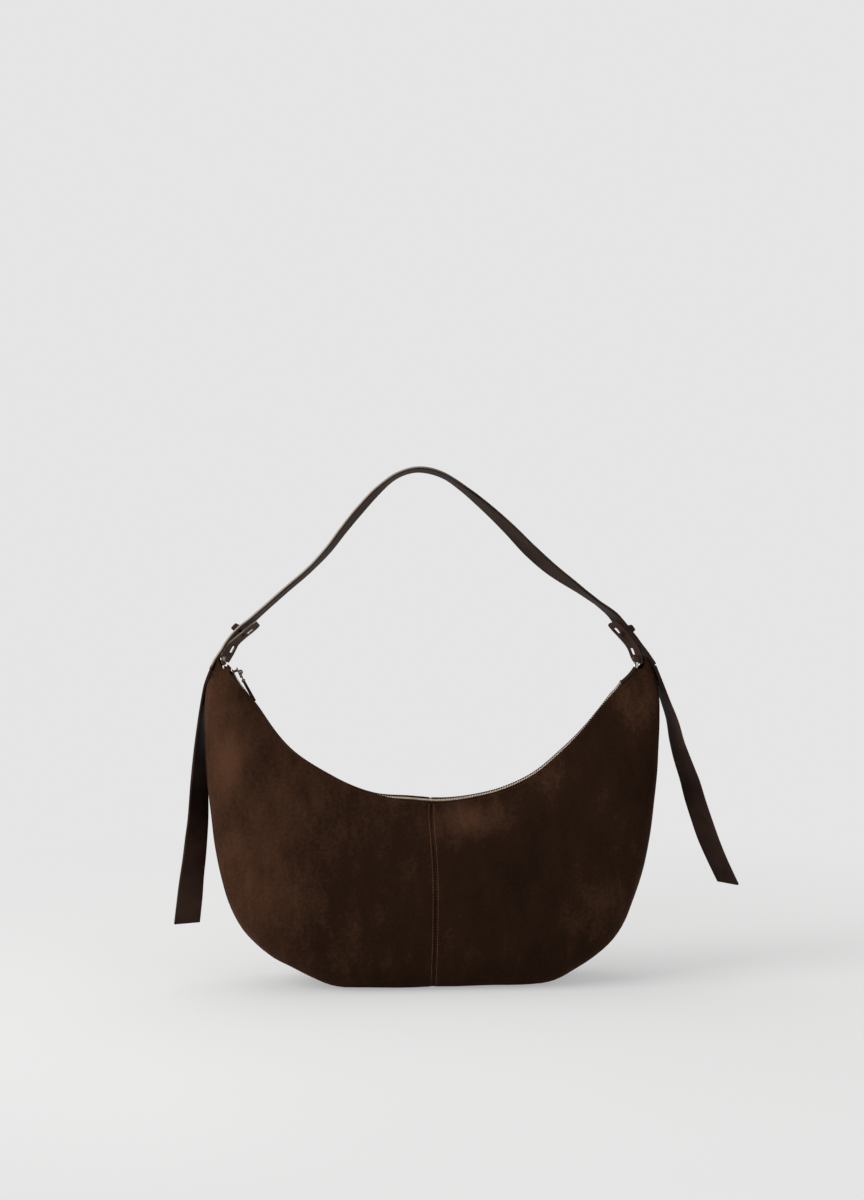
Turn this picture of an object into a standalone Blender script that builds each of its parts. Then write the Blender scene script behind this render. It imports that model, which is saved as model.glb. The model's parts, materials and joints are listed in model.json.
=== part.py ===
# A suede crescent shoulder bag: two seamed panels and a gusset, a zipped mouth that opens,
# and a strap that swings on two rings. Metres, +Z up, -Y is the front.
# The origin is on the floor, under the middle of the gusset that the bag stands on.
import bpy
import bmesh
import math
from mathutils import Vector, Matrix

# The bag's body. Every section of it lies on a ray from the centre of the zip's arc.
ARC_CENTRE_HEIGHT = 0.370
ZIP_RADIUS = ARC_CENTRE_HEIGHT * 0.5285
EDGE_DROP = 0.0015
HALF_DEPTH = 0.048
MOUTH_HALF = 0.0075
LEATHER = 0.0016
LINING = 0.0006
SEAM_GAP = 0.0004
FIT = 0.0003
BODY_END_DEG = 68.0
CAP_END_DEG = 70.2
CAP_LENGTH = 0.0052
LIP_GAP = 0.0013
FLAT_DEG = 14.0
BAND_SHARE = 0.17
BAND_ROWS = 3
PANEL_ROWS = 10
DEG_STEP = 4.0
SHARE_STEP = (1.0 - BAND_SHARE) / PANEL_ROWS
NEAR_LINE_SHARE = 0.2
TURN_SHARE = 0.4

# The outer edge, as shares of the arc centre's height, at angles from straight down.
LEFT_OUTLINE_SHARES = [(17.5, 1.019), (20.7, 1.009), (23.5, 1.000), (26.9, 0.985), (29.8, 0.966),
                       (33.4, 0.926), (36.8, 0.880), (40.2, 0.837), (45.0, 0.779), (51.6, 0.715),
                       (55.8, 0.679), (61.0, 0.639), (64.6, 0.612), (68.0, 0.580)]
RIGHT_OUTLINE_SHARES = [(17.5, 1.036), (20.7, 1.027), (23.5, 1.018), (27.0, 1.001), (29.8, 0.977),
                        (32.8, 0.938), (36.8, 0.890), (40.9, 0.839), (46.5, 0.774), (52.8, 0.715),
                        (56.2, 0.687), (61.0, 0.651), (64.6, 0.624), (68.0, 0.588)]
# Half the depth along the bag, as shares of the greatest half depth.
DEPTH_SHARES = [(0.0, 1.0), (15.0, 0.985), (30.0, 0.90), (45.0, 0.71), (55.0, 0.53), (62.0, 0.375),
                (68.0, 0.235), (72.0, 0.20)]
# The section from the mouth down to the gusset: shares of its height and of its swell.
SECTION_SHARES = [(0.0, 0.0), (0.05, 0.125), (0.12, 0.30), (0.23, 0.56), (0.40, 0.81), (0.57, 0.95),
                  (0.74, 1.0), (0.87, 0.91), (0.95, 0.70), (0.985, 0.48), (1.0, 0.30)]

# The lining, and the pocket sewn on its back, in columns along the arc and rows down the section.
POCKET_COLUMNS = 3
POCKET_TOP_ROW = 3
POCKET_FOOT_ROW = 7
COARSE = 2
POCKET_SWELL = 0.0022

LINING_COLUMNS = 15
CAP_TOP_SHARE = 0.5

# The zip: two tapes, two rows of metal teeth, the slider and its puller.
TAPE = 0.0006
TAPE_DEPTH = 0.010
TAPE_BAND_SHARE = 0.75
TEETH_START_INSET = 0.0061
TEETH_END_INSET = 0.0027
TOOTH_PITCH = 0.0050
TOOTH_ROOT = 0.0019
TOOTH_REACH = 0.0008
TOOTH_THICK = 0.0021
TOOTH_HEAD_SHARE = 0.72
BEAD_WIDTH = 0.0010
BEAD_HEIGHT = 0.0024
SLIDER_INSET = 0.0058
SLIDER_LENGTH = 0.0100
SLIDER_HALF_WIDTH = 0.0046
SLIDER_PLATE = 0.0011
SLIDER_PLAY = 0.0005
SLIDER_TAIL_SHARE = 0.74
SLIDER_FOOT_SHARE = 0.76
POST_LENGTH = 0.0022
POST_HALF_WIDTH = 0.0012
BRIDGE_RISE = 0.0034
BRIDGE_WIRE = 0.0007
BRIDGE_HALF_LENGTH = 0.0022
BRIDGE_PLAY = 0.0003
PULLER_WIRE = 0.0006
PULLER_LENGTH = 0.0085
PULLER_HALF_WIDTH = 0.0026
PULL_LENGTH = 0.0215
PULL_HALF_WIDTH = 0.0032
PULL_THICK = 0.0022
PULL_SKIN = 0.0008
PULL_REST = 0.0004
NECK_LENGTH_SHARE = 0.25
FRAME_CORNER_SHARE = 0.45

# The rings and the folded leather that holds them, above the tips of the bag.
RING_OUT = 0.00577
RING_DROP = 0.0096
RING_RADIUS = 0.0066
RING_WIRE = 0.0012
RING_CLEAR = 0.0005
LOOP_LEATHER = 0.0017
LOOP_HALF_WIDTH = 0.0040
LOOP_TAIL = 0.0156

# The strap, its slotted tabs and the toggles. The route is in shares of the arc centre's height.
STRAP_WIDTH = 0.025
STRAP_THICK = 0.0026
RING_SHARES = (0.51765, 0.80850)
STRAP_ROUTE_SHARES = [(-0.5476, 0.8086), (-0.534, 0.831), (-0.5135, 0.8555), (-0.492, 0.8857),
                      (-0.472, 0.908), (-0.447, 0.928), (-0.4195, 0.9525), (-0.363, 1.002),
                      (-0.3045, 1.0515), (-0.2568, 1.101), (-0.2184, 1.151), (-0.1785, 1.200),
                      (-0.132, 1.250), (-0.084, 1.2865), (-0.030, 1.3005), (0.029, 1.2865),
                      (0.0865, 1.2486), (0.147, 1.198), (0.1997, 1.148), (0.249, 1.097),
                      (0.306, 1.0465), (0.376, 0.9957), (0.446, 0.944), (0.470, 0.919),
                      (0.4935, 0.888), (0.514, 0.862), (0.5365, 0.8365), (0.559, 0.8086)]
# How far the strap leans, front edge outward, in degrees at shares of its length.
STRAP_LEAN_SHARES = [(0.0, 0.0), (0.15, 0.0), (0.24, 7.0), (0.38, 7.0), (0.50, 2.0), (0.62, -12.0),
                     (0.74, -11.0), (0.85, 0.0), (1.0, 0.0)]
# Each tail: across and up in shares of the arc centre's height, back in half depths, and its lean.
LEFT_TAIL_SHARES = [(-0.5476, 0.8086, 0.0, 0.0), (-0.5600, 0.770, 0.123, 4.0), (-0.5659, 0.730, 0.185, 8.0),
                    (-0.5716, 0.670, 0.254, 15.0), (-0.5759, 0.600, 0.316, 25.0),
                    (-0.5792, 0.519, 0.355, 37.0), (-0.5827, 0.430, 0.355, 47.0),
                    (-0.5884, 0.370, 0.355, 54.0), (-0.5938, 0.319, 0.355, 58.0),
                    (-0.6006, 0.268, 0.355, 63.0), (-0.6060, 0.217, 0.355, 70.0),
                    (-0.6135, 0.153, 0.355, 73.0)]
RIGHT_TAIL_SHARES = [(0.559, 0.8086, 0.0, 0.0), (0.5757, 0.765, 0.0, 4.0), (0.5933, 0.714, 0.0, 9.0),
                     (0.6117, 0.663, 0.0, 14.0), (0.6237, 0.611, 0.0, 21.0), (0.6396, 0.560, 0.0, 30.0),
                     (0.6581, 0.508, 0.0, 36.0), (0.6728, 0.457, 0.0, 40.0), (0.6901, 0.405, 0.0, 42.0),
                     (0.7087, 0.353, 0.0, 43.0), (0.7312, 0.301, 0.0, 41.0), (0.7600, 0.241, 0.0, 40.0)]
TAB_HALF_WIDTH = 0.0078
TAB_THICK = 0.0020
SLOT_LENGTH = 0.0072
SLOT_HALF_WIDTH = 0.0024
SLOT_PITCH = 0.0132
TOGGLE_LENGTH = 0.0066
TOGGLE_HALF_WIDTH = 0.0062
TOGGLE_HEIGHT = 0.0036
STEM_RADIUS = 0.0015
STEM_HEAD_RADIUS = 0.0029
STEM_HEAD = 0.0012
TOGGLE_UP = 0.0475
TAB_MARGIN = 0.0035
TAB_SHOULDER = 0.010
TAB_FOOT_TILT_DEG = 36.0
TAB_TOP_TILT_DEG = 24.0
TAB_STATIONS = 8
TOGGLE_EDGE = 0.0007
ROUTE_STEPS = 400
STRAP_COLUMNS = 50
TAIL_COLUMNS = 22
TAIL_GAP = 0.0009
WELD = 0.00001
EVEN = 0.001
# Small outlines are filled at a larger scale, where no triangle is lost, and brought back.
DRAWN_SCALE = 1000.0

# The turning axes.
LIP_AXIS_HALF = 0.0085
LIP_AXIS_RISE = 0.0012

for old in list(bpy.data.objects):
    bpy.data.objects.remove(old, do_unlink=True)

parts = bpy.data.collections.new("shoulder_bag")
cutters = bpy.data.collections.new("cutters")
bpy.context.scene.collection.children.link(parts)
bpy.context.scene.collection.children.link(cutters)

FRONT = -1.0
BACK = 1.0
LEFT = -1.0
RIGHT = 1.0


def material(name, colour, rough, metal=0.0):
    mat = bpy.data.materials.new(name)
    mat.use_nodes = True
    shader = mat.node_tree.nodes["Principled BSDF"]
    shader.inputs["Base Color"].default_value = (*colour, 1.0)
    shader.inputs["Roughness"].default_value = rough
    shader.inputs["Metallic"].default_value = metal
    return mat


def suede(name):
    return material(name, (0.036, 0.017, 0.009), 0.95)


def dark_leather(name):
    return material(name, (0.030, 0.017, 0.013), 0.6)


def metal(name):
    return material(name, (0.45, 0.43, 0.40), 0.32, 1.0)


def place(name, mesh, mat, parent=None, collection=parts):
    obj = bpy.data.objects.new(name, mesh)
    collection.objects.link(obj)
    if mat is not None:
        mesh.materials.append(mat)
    if parent is not None:
        obj.parent = parent
        obj.matrix_parent_inverse = Matrix.Translation(-parent.location)
    return obj


def empty(name, where, parent=None):
    obj = bpy.data.objects.new(name, None)
    parts.objects.link(obj)
    obj.location = where
    if parent is not None:
        obj.parent = parent
        obj.matrix_parent_inverse = Matrix.Translation(-parent.location)
    bpy.context.view_layer.update()
    return obj


def table(rows, at):
    # Straight interpolation with a smooth step is enough between rows this close.
    if at <= rows[0][0]:
        return rows[0][1]
    for (a, va), (b, vb) in zip(rows, rows[1:]):
        if at <= b:
            return va + (vb - va) * (at - a) / (b - a)
    return rows[-1][1]


def curved(rows, t):
    # A Catmull-Rom curve through rows of numbers, t from 0 to 1 by row.
    last = len(rows) - 1
    place_on = min(max(t, 0.0), 1.0) * last
    i = min(int(place_on), last - 1)
    f = place_on - i
    p0 = rows[max(i - 1, 0)]
    p1 = rows[i]
    p2 = rows[i + 1]
    p3 = rows[min(i + 2, last)]
    return [0.5 * ((2 * b) + (c - a) * f + (2 * a - 5 * b + 4 * c - d) * f * f
                   + (3 * b - a - 3 * c + d) * f * f * f) for a, b, c, d in zip(p0, p1, p2, p3)]


def outer_radius(deg):
    rows = LEFT_OUTLINE_SHARES if deg < 0.0 else RIGHT_OUTLINE_SHARES
    at = abs(deg)
    floor = 1.0 / math.cos(math.radians(min(at, rows[0][0])))
    if at <= FLAT_DEG:
        return ARC_CENTRE_HEIGHT * floor
    edge = 1.0 / math.cos(math.radians(FLAT_DEG))
    return ARC_CENTRE_HEIGHT * table([(FLAT_DEG, edge)] + rows, at)


def polar(deg, radius, y=0.0):
    a = math.radians(deg)
    return Vector((radius * math.sin(a), y, ARC_CENTRE_HEIGHT - radius * math.cos(a)))


def section(deg, share):
    # Half depth and radius on the front half of the section, from the mouth to the gusset.
    low = table([(s, h) for s, (h, d) in zip(SECTION_STEPS, SECTION_SHARES)], share)
    swell = table([(s, d) for s, (h, d) in zip(SECTION_STEPS, SECTION_SHARES)], share)
    top = ZIP_RADIUS + EDGE_DROP
    radius = top + (outer_radius(deg) - top) * low
    half = HALF_DEPTH * table(DEPTH_SHARES, abs(deg))
    return MOUTH_HALF + (half - MOUTH_HALF) * swell, radius


def section_steps():
    # Shares of the section's length at its rows, on the middle ray.
    height = ARC_CENTRE_HEIGHT - ZIP_RADIUS
    steps = [0.0]
    for (h0, d0), (h1, d1) in zip(SECTION_SHARES, SECTION_SHARES[1:]):
        steps.append(steps[-1] + math.hypot((h1 - h0) * height, (d1 - d0) * HALF_DEPTH))
    return [s / steps[-1] for s in steps]


SECTION_STEPS = section_steps()


def skin_point(deg, share, side, inward=0.0):
    # A point on the skin, or a set depth inside it along the skin's normal.
    step = 0.004
    half, radius = section(deg, share)
    if inward == 0.0:
        return polar(deg, radius, side * half)
    here = polar(deg, radius, side * half)
    up_half, up_radius = section(deg, max(share - step, 0.0))
    down_half, down_radius = section(deg, min(share + step, 1.0))
    along = polar(deg, down_radius, side * down_half) - polar(deg, up_radius, side * up_half)
    turn = 0.4
    h0, r0 = section(deg - turn, share)
    h1, r1 = section(deg + turn, share)
    across = polar(deg + turn, r1, side * h1) - polar(deg - turn, r0, side * h0)
    normal = along.cross(across) * side
    normal.normalize()
    return here + normal * inward


def lines(first, last, step, origin=0.0):
    # The ends of a span and the shared grid lines between them, so that layers stay parallel.
    near = step * NEAR_LINE_SHARE
    inside = []
    k = math.ceil((first - origin) / step)
    while origin + k * step < last - near:
        if origin + k * step > first + near:
            inside.append(origin + k * step)
        k += 1
    return [first] + inside + [last]


def sheet(name, us, vs, where, thick, offset, mat, parent=None):
    # An open grid laid on a surface by a function of its two line values, given its thickness.
    mesh = bpy.data.meshes.new(name)
    bm = bmesh.new()
    columns = len(us) - 1
    rows = len(vs) - 1
    bmesh.ops.create_grid(bm, x_segments=columns, y_segments=rows, size=1.0)
    for v in bm.verts:
        u = us[round((v.co.x + 1.0) / 2.0 * columns)]
        v.co = where(u, vs[round((v.co.y + 1.0) / 2.0 * rows)])
    bm.to_mesh(mesh)
    bm.free()
    obj = place(name, mesh, mat, parent)
    solid = obj.modifiers.new("thickness", "SOLIDIFY")
    solid.thickness = thick
    solid.offset = offset
    solid.use_even_offset = True
    mesh.shade_smooth()
    return obj


def skin_sheet(name, side, degs, shares, thick, mat, inward=0.0, parent=None, top_gap=0.0):
    def where(deg, share):
        if share == shares[0]:
            share += top_gap / (outer_radius(deg) - ZIP_RADIUS - EDGE_DROP)
        return skin_point(deg, share, side, inward)
    return sheet(name, degs, shares, where, thick, -side, mat, parent)


# Angles that leave a seam's gap at a radius.
def gap_deg(gap, radius):
    return math.degrees(gap / radius)


# Angles of the zip's ends and of the ring, from their lengths along the arc.
LIP_END_DEG = CAP_END_DEG - gap_deg(CAP_LENGTH, ZIP_RADIUS)
TEETH_START_DEG = gap_deg(TEETH_START_INSET, ZIP_RADIUS) - LIP_END_DEG
TEETH_END_DEG = LIP_END_DEG - gap_deg(TEETH_END_INSET, ZIP_RADIUS)
SLIDER_DEG = gap_deg(SLIDER_INSET, ZIP_RADIUS) - LIP_END_DEG
RING_DEG = BODY_END_DEG + gap_deg(RING_OUT, ZIP_RADIUS)


lip_height = ARC_CENTRE_HEIGHT - ZIP_RADIUS * math.cos(math.radians(LIP_END_DEG)) + LIP_AXIS_RISE
front_lip = empty("front_lip_axis", (0.0, -LIP_AXIS_HALF, lip_height))
back_lip = empty("back_lip_axis", (0.0, LIP_AXIS_HALF, lip_height))
slider_axis = empty("zip_axis", (0.0, 0.0, ARC_CENTRE_HEIGHT))


seam = gap_deg(SEAM_GAP, ZIP_RADIUS)
edge = SEAM_GAP / (ARC_CENTRE_HEIGHT - ZIP_RADIUS)

# The two seamed halves of each panel, and the gusset that joins front and back.
for side, word in ((FRONT, "front"), (BACK, "back")):
    for hand, end in ((LEFT, "left"), (RIGHT, "right")):
        first, last = sorted((hand * BODY_END_DEG, hand * seam / 2.0))
        shares = lines(BAND_SHARE, 1.0 - edge, SHARE_STEP, BAND_SHARE)
        shares.insert(-1, 1.0 - SHARE_STEP * TURN_SHARE)
        skin_sheet(word + "_panel_" + end, side, lines(first, last, DEG_STEP), shares,
                   LEATHER, suede(word + "_suede_" + end), top_gap=LIP_GAP)


def gusset_point(deg, v):
    half, radius = section(deg, 1.0)
    return polar(deg, radius, v * (half - 2.0 * SEAM_GAP))


sheet("gusset", lines(-BODY_END_DEG, BODY_END_DEG, DEG_STEP), (FRONT, BACK), gusset_point, LEATHER, 1.0,
      suede("gusset_suede"))

# The mouth bands carry the zip and turn outward when the bag is opened.
band_degs = lines(-LIP_END_DEG, LIP_END_DEG, DEG_STEP)
band_shares = [BAND_SHARE * i / BAND_ROWS for i in range(BAND_ROWS + 1)]
skin_sheet("front_mouth_band", FRONT, band_degs, band_shares, LEATHER,
           suede("front_band_suede"), 0.0, front_lip)
skin_sheet("back_mouth_band", BACK, band_degs, band_shares, LEATHER,
           suede("back_band_suede"), 0.0, back_lip)


def cap_sheet(name, hand):
    # The small cap that closes the mouth past each end of the zip.
    first, last = sorted((hand * (LIP_END_DEG + 2.0 * seam), hand * CAP_END_DEG))

    def where(deg, across):
        side = FRONT if across < 0.0 else BACK
        reach = abs(across)
        if reach <= CAP_TOP_SHARE:
            half, radius = section(deg, 0.0)
            return polar(deg, radius, across / CAP_TOP_SHARE * half)
        share = BAND_SHARE * (reach - CAP_TOP_SHARE) / (1.0 - CAP_TOP_SHARE)
        return skin_point(deg, share, side)

    return sheet(name, (first, last), [i / 4.0 for i in range(-4, 5)], where, LEATHER, -1.0,
                 suede(name + "_suede"))


cap_sheet("zip_end_left", LEFT)
cap_sheet("zip_end_right", RIGHT)

# The lining lies against the panels' inside, and the pocket on the back lining.
lining_degs = [DEG_STEP * i for i in range(-LINING_COLUMNS, LINING_COLUMNS + 1, COARSE)]
lining_shares = [BAND_SHARE + SHARE_STEP * i for i in range(1, PANEL_ROWS, COARSE)]
for side, word in ((FRONT, "front"), (BACK, "back")):
    skin_sheet(word + "_lining", side, lining_degs, lining_shares, LINING,
               material(word + "_lining_cloth", (0.16, 0.12, 0.09), 0.9), LEATHER + SEAM_GAP)

pocket_degs = [DEG_STEP * i for i in range(-POCKET_COLUMNS, POCKET_COLUMNS + 1, COARSE)]
pocket_shares = [BAND_SHARE + SHARE_STEP * i for i in range(POCKET_TOP_ROW, POCKET_FOOT_ROW + 1, COARSE)]


def pocket_point(deg, share):
    u = (deg - pocket_degs[0]) / (pocket_degs[-1] - pocket_degs[0])
    v = (share - pocket_shares[0]) / (pocket_shares[-1] - pocket_shares[0])
    lift = math.sin(math.pi * u) * (1.0 - v) * POCKET_SWELL
    return skin_point(deg, share, BACK, LEATHER + LINING + 2.0 * SEAM_GAP + lift)


sheet("inner_pocket", pocket_degs, pocket_shares, pocket_point, LINING, -1.0,
      material("pocket_cloth", (0.13, 0.10, 0.08), 0.9))


def tape_share(deg, low):
    # Down from the mouth's edge by the tape's depth, or by most of the band where it is narrow.
    half, radius = section(deg, BAND_SHARE)
    deep = min(TAPE_DEPTH / (radius - ZIP_RADIUS - EDGE_DROP), TAPE_BAND_SHARE)
    return BAND_SHARE * deep * low


def tape_sheet(name, side, parent):
    rows = 3

    def where(deg, row):
        if row == 0:
            return polar(deg, ZIP_RADIUS, side * (TOOTH_ROOT + BEAD_WIDTH + FIT))
        under = LEATHER + FIT + TAPE / 2.0
        return skin_point(deg, tape_share(deg, (row - 1.0) / (rows - 1.0)), side, under)

    return sheet(name, band_degs, range(rows + 1), where, TAPE, 0.0, material(name + "_cloth", (0.02, 0.015, 0.012), 0.9),
                 parent)


tape_sheet("zip_tape_front", FRONT, front_lip)
tape_sheet("zip_tape_back", BACK, back_lip)


# A row of metal teeth, drawn out one by one from the bead that carries them on the tape's edge.
def teeth_row(name, side, parent):
    pitch = math.degrees(TOOTH_PITCH / ZIP_RADIUS)
    wide = math.degrees(TOOTH_THICK / ZIP_RADIUS)
    first = TEETH_START_DEG + (0.0 if side < 0.0 else pitch / 2.0)
    count = int((TEETH_END_DEG - first) / pitch)
    bm = bmesh.new()
    bmesh.ops.create_cube(bm, size=2.0)
    along = [e for e in bm.edges if abs(e.verts[0].co.x - e.verts[1].co.x) > 1.0]
    bmesh.ops.subdivide_edges(bm, edges=along, cuts=2 * count - 2, use_grid_fill=True)
    columns = 2 * count - 1
    heads = [f for f in bm.faces if f.normal.y * side < -0.5
             and round((f.calc_center_median().x + 1.0) / 2.0 * columns - 0.5) % 2 == 0]
    # The bead's far side, top and foot need only one face to a tooth.
    for e in bm.edges:
        middle = (e.verts[0].co + e.verts[1].co) / 2.0
        column = round((middle.x + 1.0) / 2.0 * columns)
        e.select = abs(e.verts[0].co.x - e.verts[1].co.x) < EVEN and column % 2 == 1 \
            and 0 < column < columns and middle.y * side > -EVEN
    for v in bm.verts:
        column = round((v.co.x + 1.0) / 2.0 * columns)
        deg = first + pitch * (column // 2) + (wide if column % 2 else 0.0)
        far = TOOTH_ROOT + BEAD_WIDTH if v.co.y * side > 0.0 else TOOTH_ROOT
        v.co = polar(deg, ZIP_RADIUS - v.co.z * BEAD_HEIGHT / 2.0, side * far)
    plain = [e for e in bm.edges if e.select]
    bmesh.ops.dissolve_edges(bm, edges=plain, use_verts=True)
    drawn = bmesh.ops.extrude_discrete_faces(bm, faces=heads)["faces"]
    for f in drawn:
        middle = f.calc_center_median()
        for v in f.verts:
            v.co = middle + (v.co - middle) * TOOTH_HEAD_SHARE
            v.co.y = -side * TOOTH_REACH
    mesh = bpy.data.meshes.new(name)
    bm.to_mesh(mesh)
    bm.free()
    return place(name, mesh, material(name + "_metal", (0.33, 0.31, 0.28), 0.35, 1.0), parent)


teeth_row("zip_teeth_front", FRONT, front_lip)
teeth_row("zip_teeth_back", BACK, back_lip)


def outline_mesh(name, outlines, half_thick):
    # A flat outline with holes, filled and given its thickness, as a welded mesh.
    curve = bpy.data.curves.new(name, "CURVE")
    curve.dimensions = "2D"
    curve.fill_mode = "BOTH"
    curve.extrude = half_thick * DRAWN_SCALE
    for points in outlines:
        spline = curve.splines.new("POLY")
        spline.points.add(len(points) - 1)
        for point, (x, y) in zip(spline.points, points):
            point.co = (x * DRAWN_SCALE, y * DRAWN_SCALE, 0.0, 1.0)
        spline.use_cyclic_u = True
    drawn = bpy.data.objects.new(name, curve)
    cutters.objects.link(drawn)
    bpy.context.view_layer.update()
    mesh = bpy.data.meshes.new_from_object(drawn.evaluated_get(bpy.context.evaluated_depsgraph_get()))
    bpy.data.objects.remove(drawn, do_unlink=True)
    bm = bmesh.new()
    bm.from_mesh(mesh)
    bmesh.ops.remove_doubles(bm, verts=bm.verts, dist=WELD * DRAWN_SCALE)
    bmesh.ops.recalc_face_normals(bm, faces=bm.faces)
    bmesh.ops.scale(bm, verts=bm.verts, vec=Vector((1.0, 1.0, 1.0)) / DRAWN_SCALE)
    bm.to_mesh(mesh)
    bm.free()
    mesh.materials.clear()
    return mesh


def face_outward(bm):
    if bm.calc_volume(signed=True) < 0.0:
        bmesh.ops.reverse_faces(bm, faces=bm.faces)


def moved(mesh, where):
    # Lays a mesh out by a function of its points, its faces turned outward again.
    bm = bmesh.new()
    bm.from_mesh(mesh)
    for v in bm.verts:
        v.co = where(v.co)
    face_outward(bm)
    bm.to_mesh(mesh)
    bm.free()
    return mesh


def arc_points(centre, radius, first, last, count):
    points = []
    for i in range(count + 1):
        a = math.radians(first + (last - first) * i / count)
        points.append((centre[0] + radius * math.cos(a), centre[1] + radius * math.sin(a)))
    return points


def keyhole(length, eye, hole, half_thick, stations):
    # The side view of a strip folded round a wire: an eye at zero and a shank along X.
    meet = math.degrees(math.asin(half_thick / eye))
    rim = arc_points((0.0, 0.0), eye, meet, 360.0 - meet, 14)
    under = [(length * i / stations, -half_thick) for i in range(1, stations + 1)]
    over = [(length * i / stations, half_thick) for i in range(stations, 0, -1)]
    start = eye * math.cos(math.radians(meet))
    keep = [p for p in under if p[0] > start]
    back = [p for p in over if p[0] > start]
    return [rim + keep + back, arc_points((0.0, 0.0), hole, 0.0, 330.0, 11)]


def cutter(name, mesh):
    obj = place(name, mesh, None, None, cutters)
    obj.display_type = "WIRE"
    obj.hide_render = True
    return obj


def boolean(obj, other, operation):
    made = obj.modifiers.new(other.name, "BOOLEAN")
    made.operation = operation
    made.object = other
    made.solver = "EXACT"


def primitive(name, build, collection=cutters, mat=None, parent=None):
    mesh = bpy.data.meshes.new(name)
    bm = bmesh.new()
    build(bm)
    bm.to_mesh(mesh)
    bm.free()
    obj = place(name, mesh, mat, parent, collection)
    if collection is cutters:
        obj.display_type = "WIRE"
        obj.hide_render = True
    return obj


def ring_mesh(name, centre, axis_turn, major, minor, steps, sides):
    # A turned ring: a circle for a profile, spun about its own axis.
    bm = bmesh.new()
    profile = bmesh.ops.create_circle(bm, segments=sides, radius=minor)["verts"]
    for v in profile:
        v.co = Vector((v.co.x + major, 0.0, v.co.y))
    edges = list(bm.edges)
    bmesh.ops.spin(bm, geom=list(bm.verts) + edges, cent=(0.0, 0.0, 0.0), axis=(0.0, 0.0, 1.0),
                   angle=math.tau, steps=steps, use_merge=True)
    bmesh.ops.remove_doubles(bm, verts=bm.verts, dist=WELD)
    for v in bm.verts:
        v.co = Vector(centre) + axis_turn @ v.co
    face_outward(bm)
    mesh = bpy.data.meshes.new(name)
    bm.to_mesh(mesh)
    bm.free()
    mesh.shade_smooth()
    return mesh


# The rings stand upright across the strap, so that the strap can swing about them.
def ring_centre(hand):
    return polar(hand * RING_DEG, ZIP_RADIUS + RING_DROP)


swing_height = ring_centre(LEFT).z
strap_axis = empty("strap_axis", (0.0, 0.0, swing_height))
upright = Matrix.Rotation(math.radians(90.0), 3, "Y")

for hand, end in ((LEFT, "left"), (RIGHT, "right")):
    centre = ring_centre(hand)
    place("ring_" + end, ring_mesh("ring_" + end, centre, upright, RING_RADIUS, RING_WIRE, 24, 8),
          metal("ring_metal_" + end), strap_axis)
    ring_cut = cutter("ring_cut_" + end, ring_mesh("ring_cut_" + end, centre, upright, RING_RADIUS,
                                                   RING_WIRE + RING_CLEAR, 24, 8))

    # The tip loop: leather folded round the ring's lower wire, its tail inside the bag's tip.
    wire = centre - Vector((0.0, 0.0, RING_RADIUS))
    foot_deg = hand * (RING_DEG - gap_deg(LOOP_TAIL, ZIP_RADIUS))
    foot = polar(foot_deg, outer_radius(foot_deg) - LEATHER - SEAM_GAP - 2.0 * LOOP_LEATHER)
    way = (foot - wire).normalized()
    across = Vector((-way.z, 0.0, way.x))
    eye = RING_WIRE + FIT + LOOP_LEATHER
    outline = keyhole((foot - wire).length, eye, RING_WIRE + FIT, LOOP_LEATHER, 1)
    mesh = outline_mesh("tip_loop_" + end, outline, LOOP_HALF_WIDTH)
    moved(mesh, lambda c: wire + way * c.x + across * c.y + Vector((0.0, c.z, 0.0)))
    loop = place("tip_loop_" + end, mesh, dark_leather("tip_leather_" + end))
    boolean(loop, ring_cut, "DIFFERENCE")


# The slider follows the zip's arc: two plates, the post between them and a bridge for the puller.
def arc_block(bm, centre_deg, span, low, high, half_width, cuts=4):
    # A closed block along the arc, its half width a function of its share along.
    made = bmesh.ops.create_cube(bm, size=2.0)
    along = [e for e in bm.edges if abs(e.verts[0].co.x - e.verts[1].co.x) > 1.0]
    bmesh.ops.subdivide_edges(bm, edges=along, cuts=cuts, use_grid_fill=True)
    for v in bm.verts:
        share = (v.co.x + 1.0) / 2.0
        deg = centre_deg + math.degrees(span / ZIP_RADIUS) * v.co.x / 2.0
        v.co = polar(deg, ZIP_RADIUS + (low if v.co.z < 0.0 else high), v.co.y * half_width(share))
    return made


def plate_width(share):
    taper = 1.0 - (1.0 - SLIDER_TAIL_SHARE) * max(0.0, share - 0.35) / 0.65
    nose = 1.0 if share > 0.15 else 0.72
    return SLIDER_HALF_WIDTH * taper * nose


plate_low = BEAD_HEIGHT / 2.0 + SLIDER_PLAY
top_plate = primitive("zip_slider", lambda bm: arc_block(
    bm, SLIDER_DEG, SLIDER_LENGTH, -plate_low - SLIDER_PLATE, -plate_low, plate_width), parts,
    metal("slider_metal"), slider_axis)
foot_plate = primitive("slider_foot_plate", lambda bm: arc_block(
    bm, SLIDER_DEG, SLIDER_LENGTH, plate_low, plate_low + SLIDER_PLATE,
    lambda share: plate_width(share) * SLIDER_FOOT_SHARE))
post_deg = SLIDER_DEG - math.degrees((SLIDER_LENGTH / 2.0 - POST_LENGTH) / ZIP_RADIUS)
post = primitive("slider_post", lambda bm: arc_block(
    bm, post_deg, POST_LENGTH, -plate_low - SLIDER_PLATE / 2.0, plate_low + SLIDER_PLATE / 2.0,
    lambda share: POST_HALF_WIDTH, 1))
boolean(top_plate, foot_plate, "UNION")
boolean(top_plate, post, "UNION")

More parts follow.
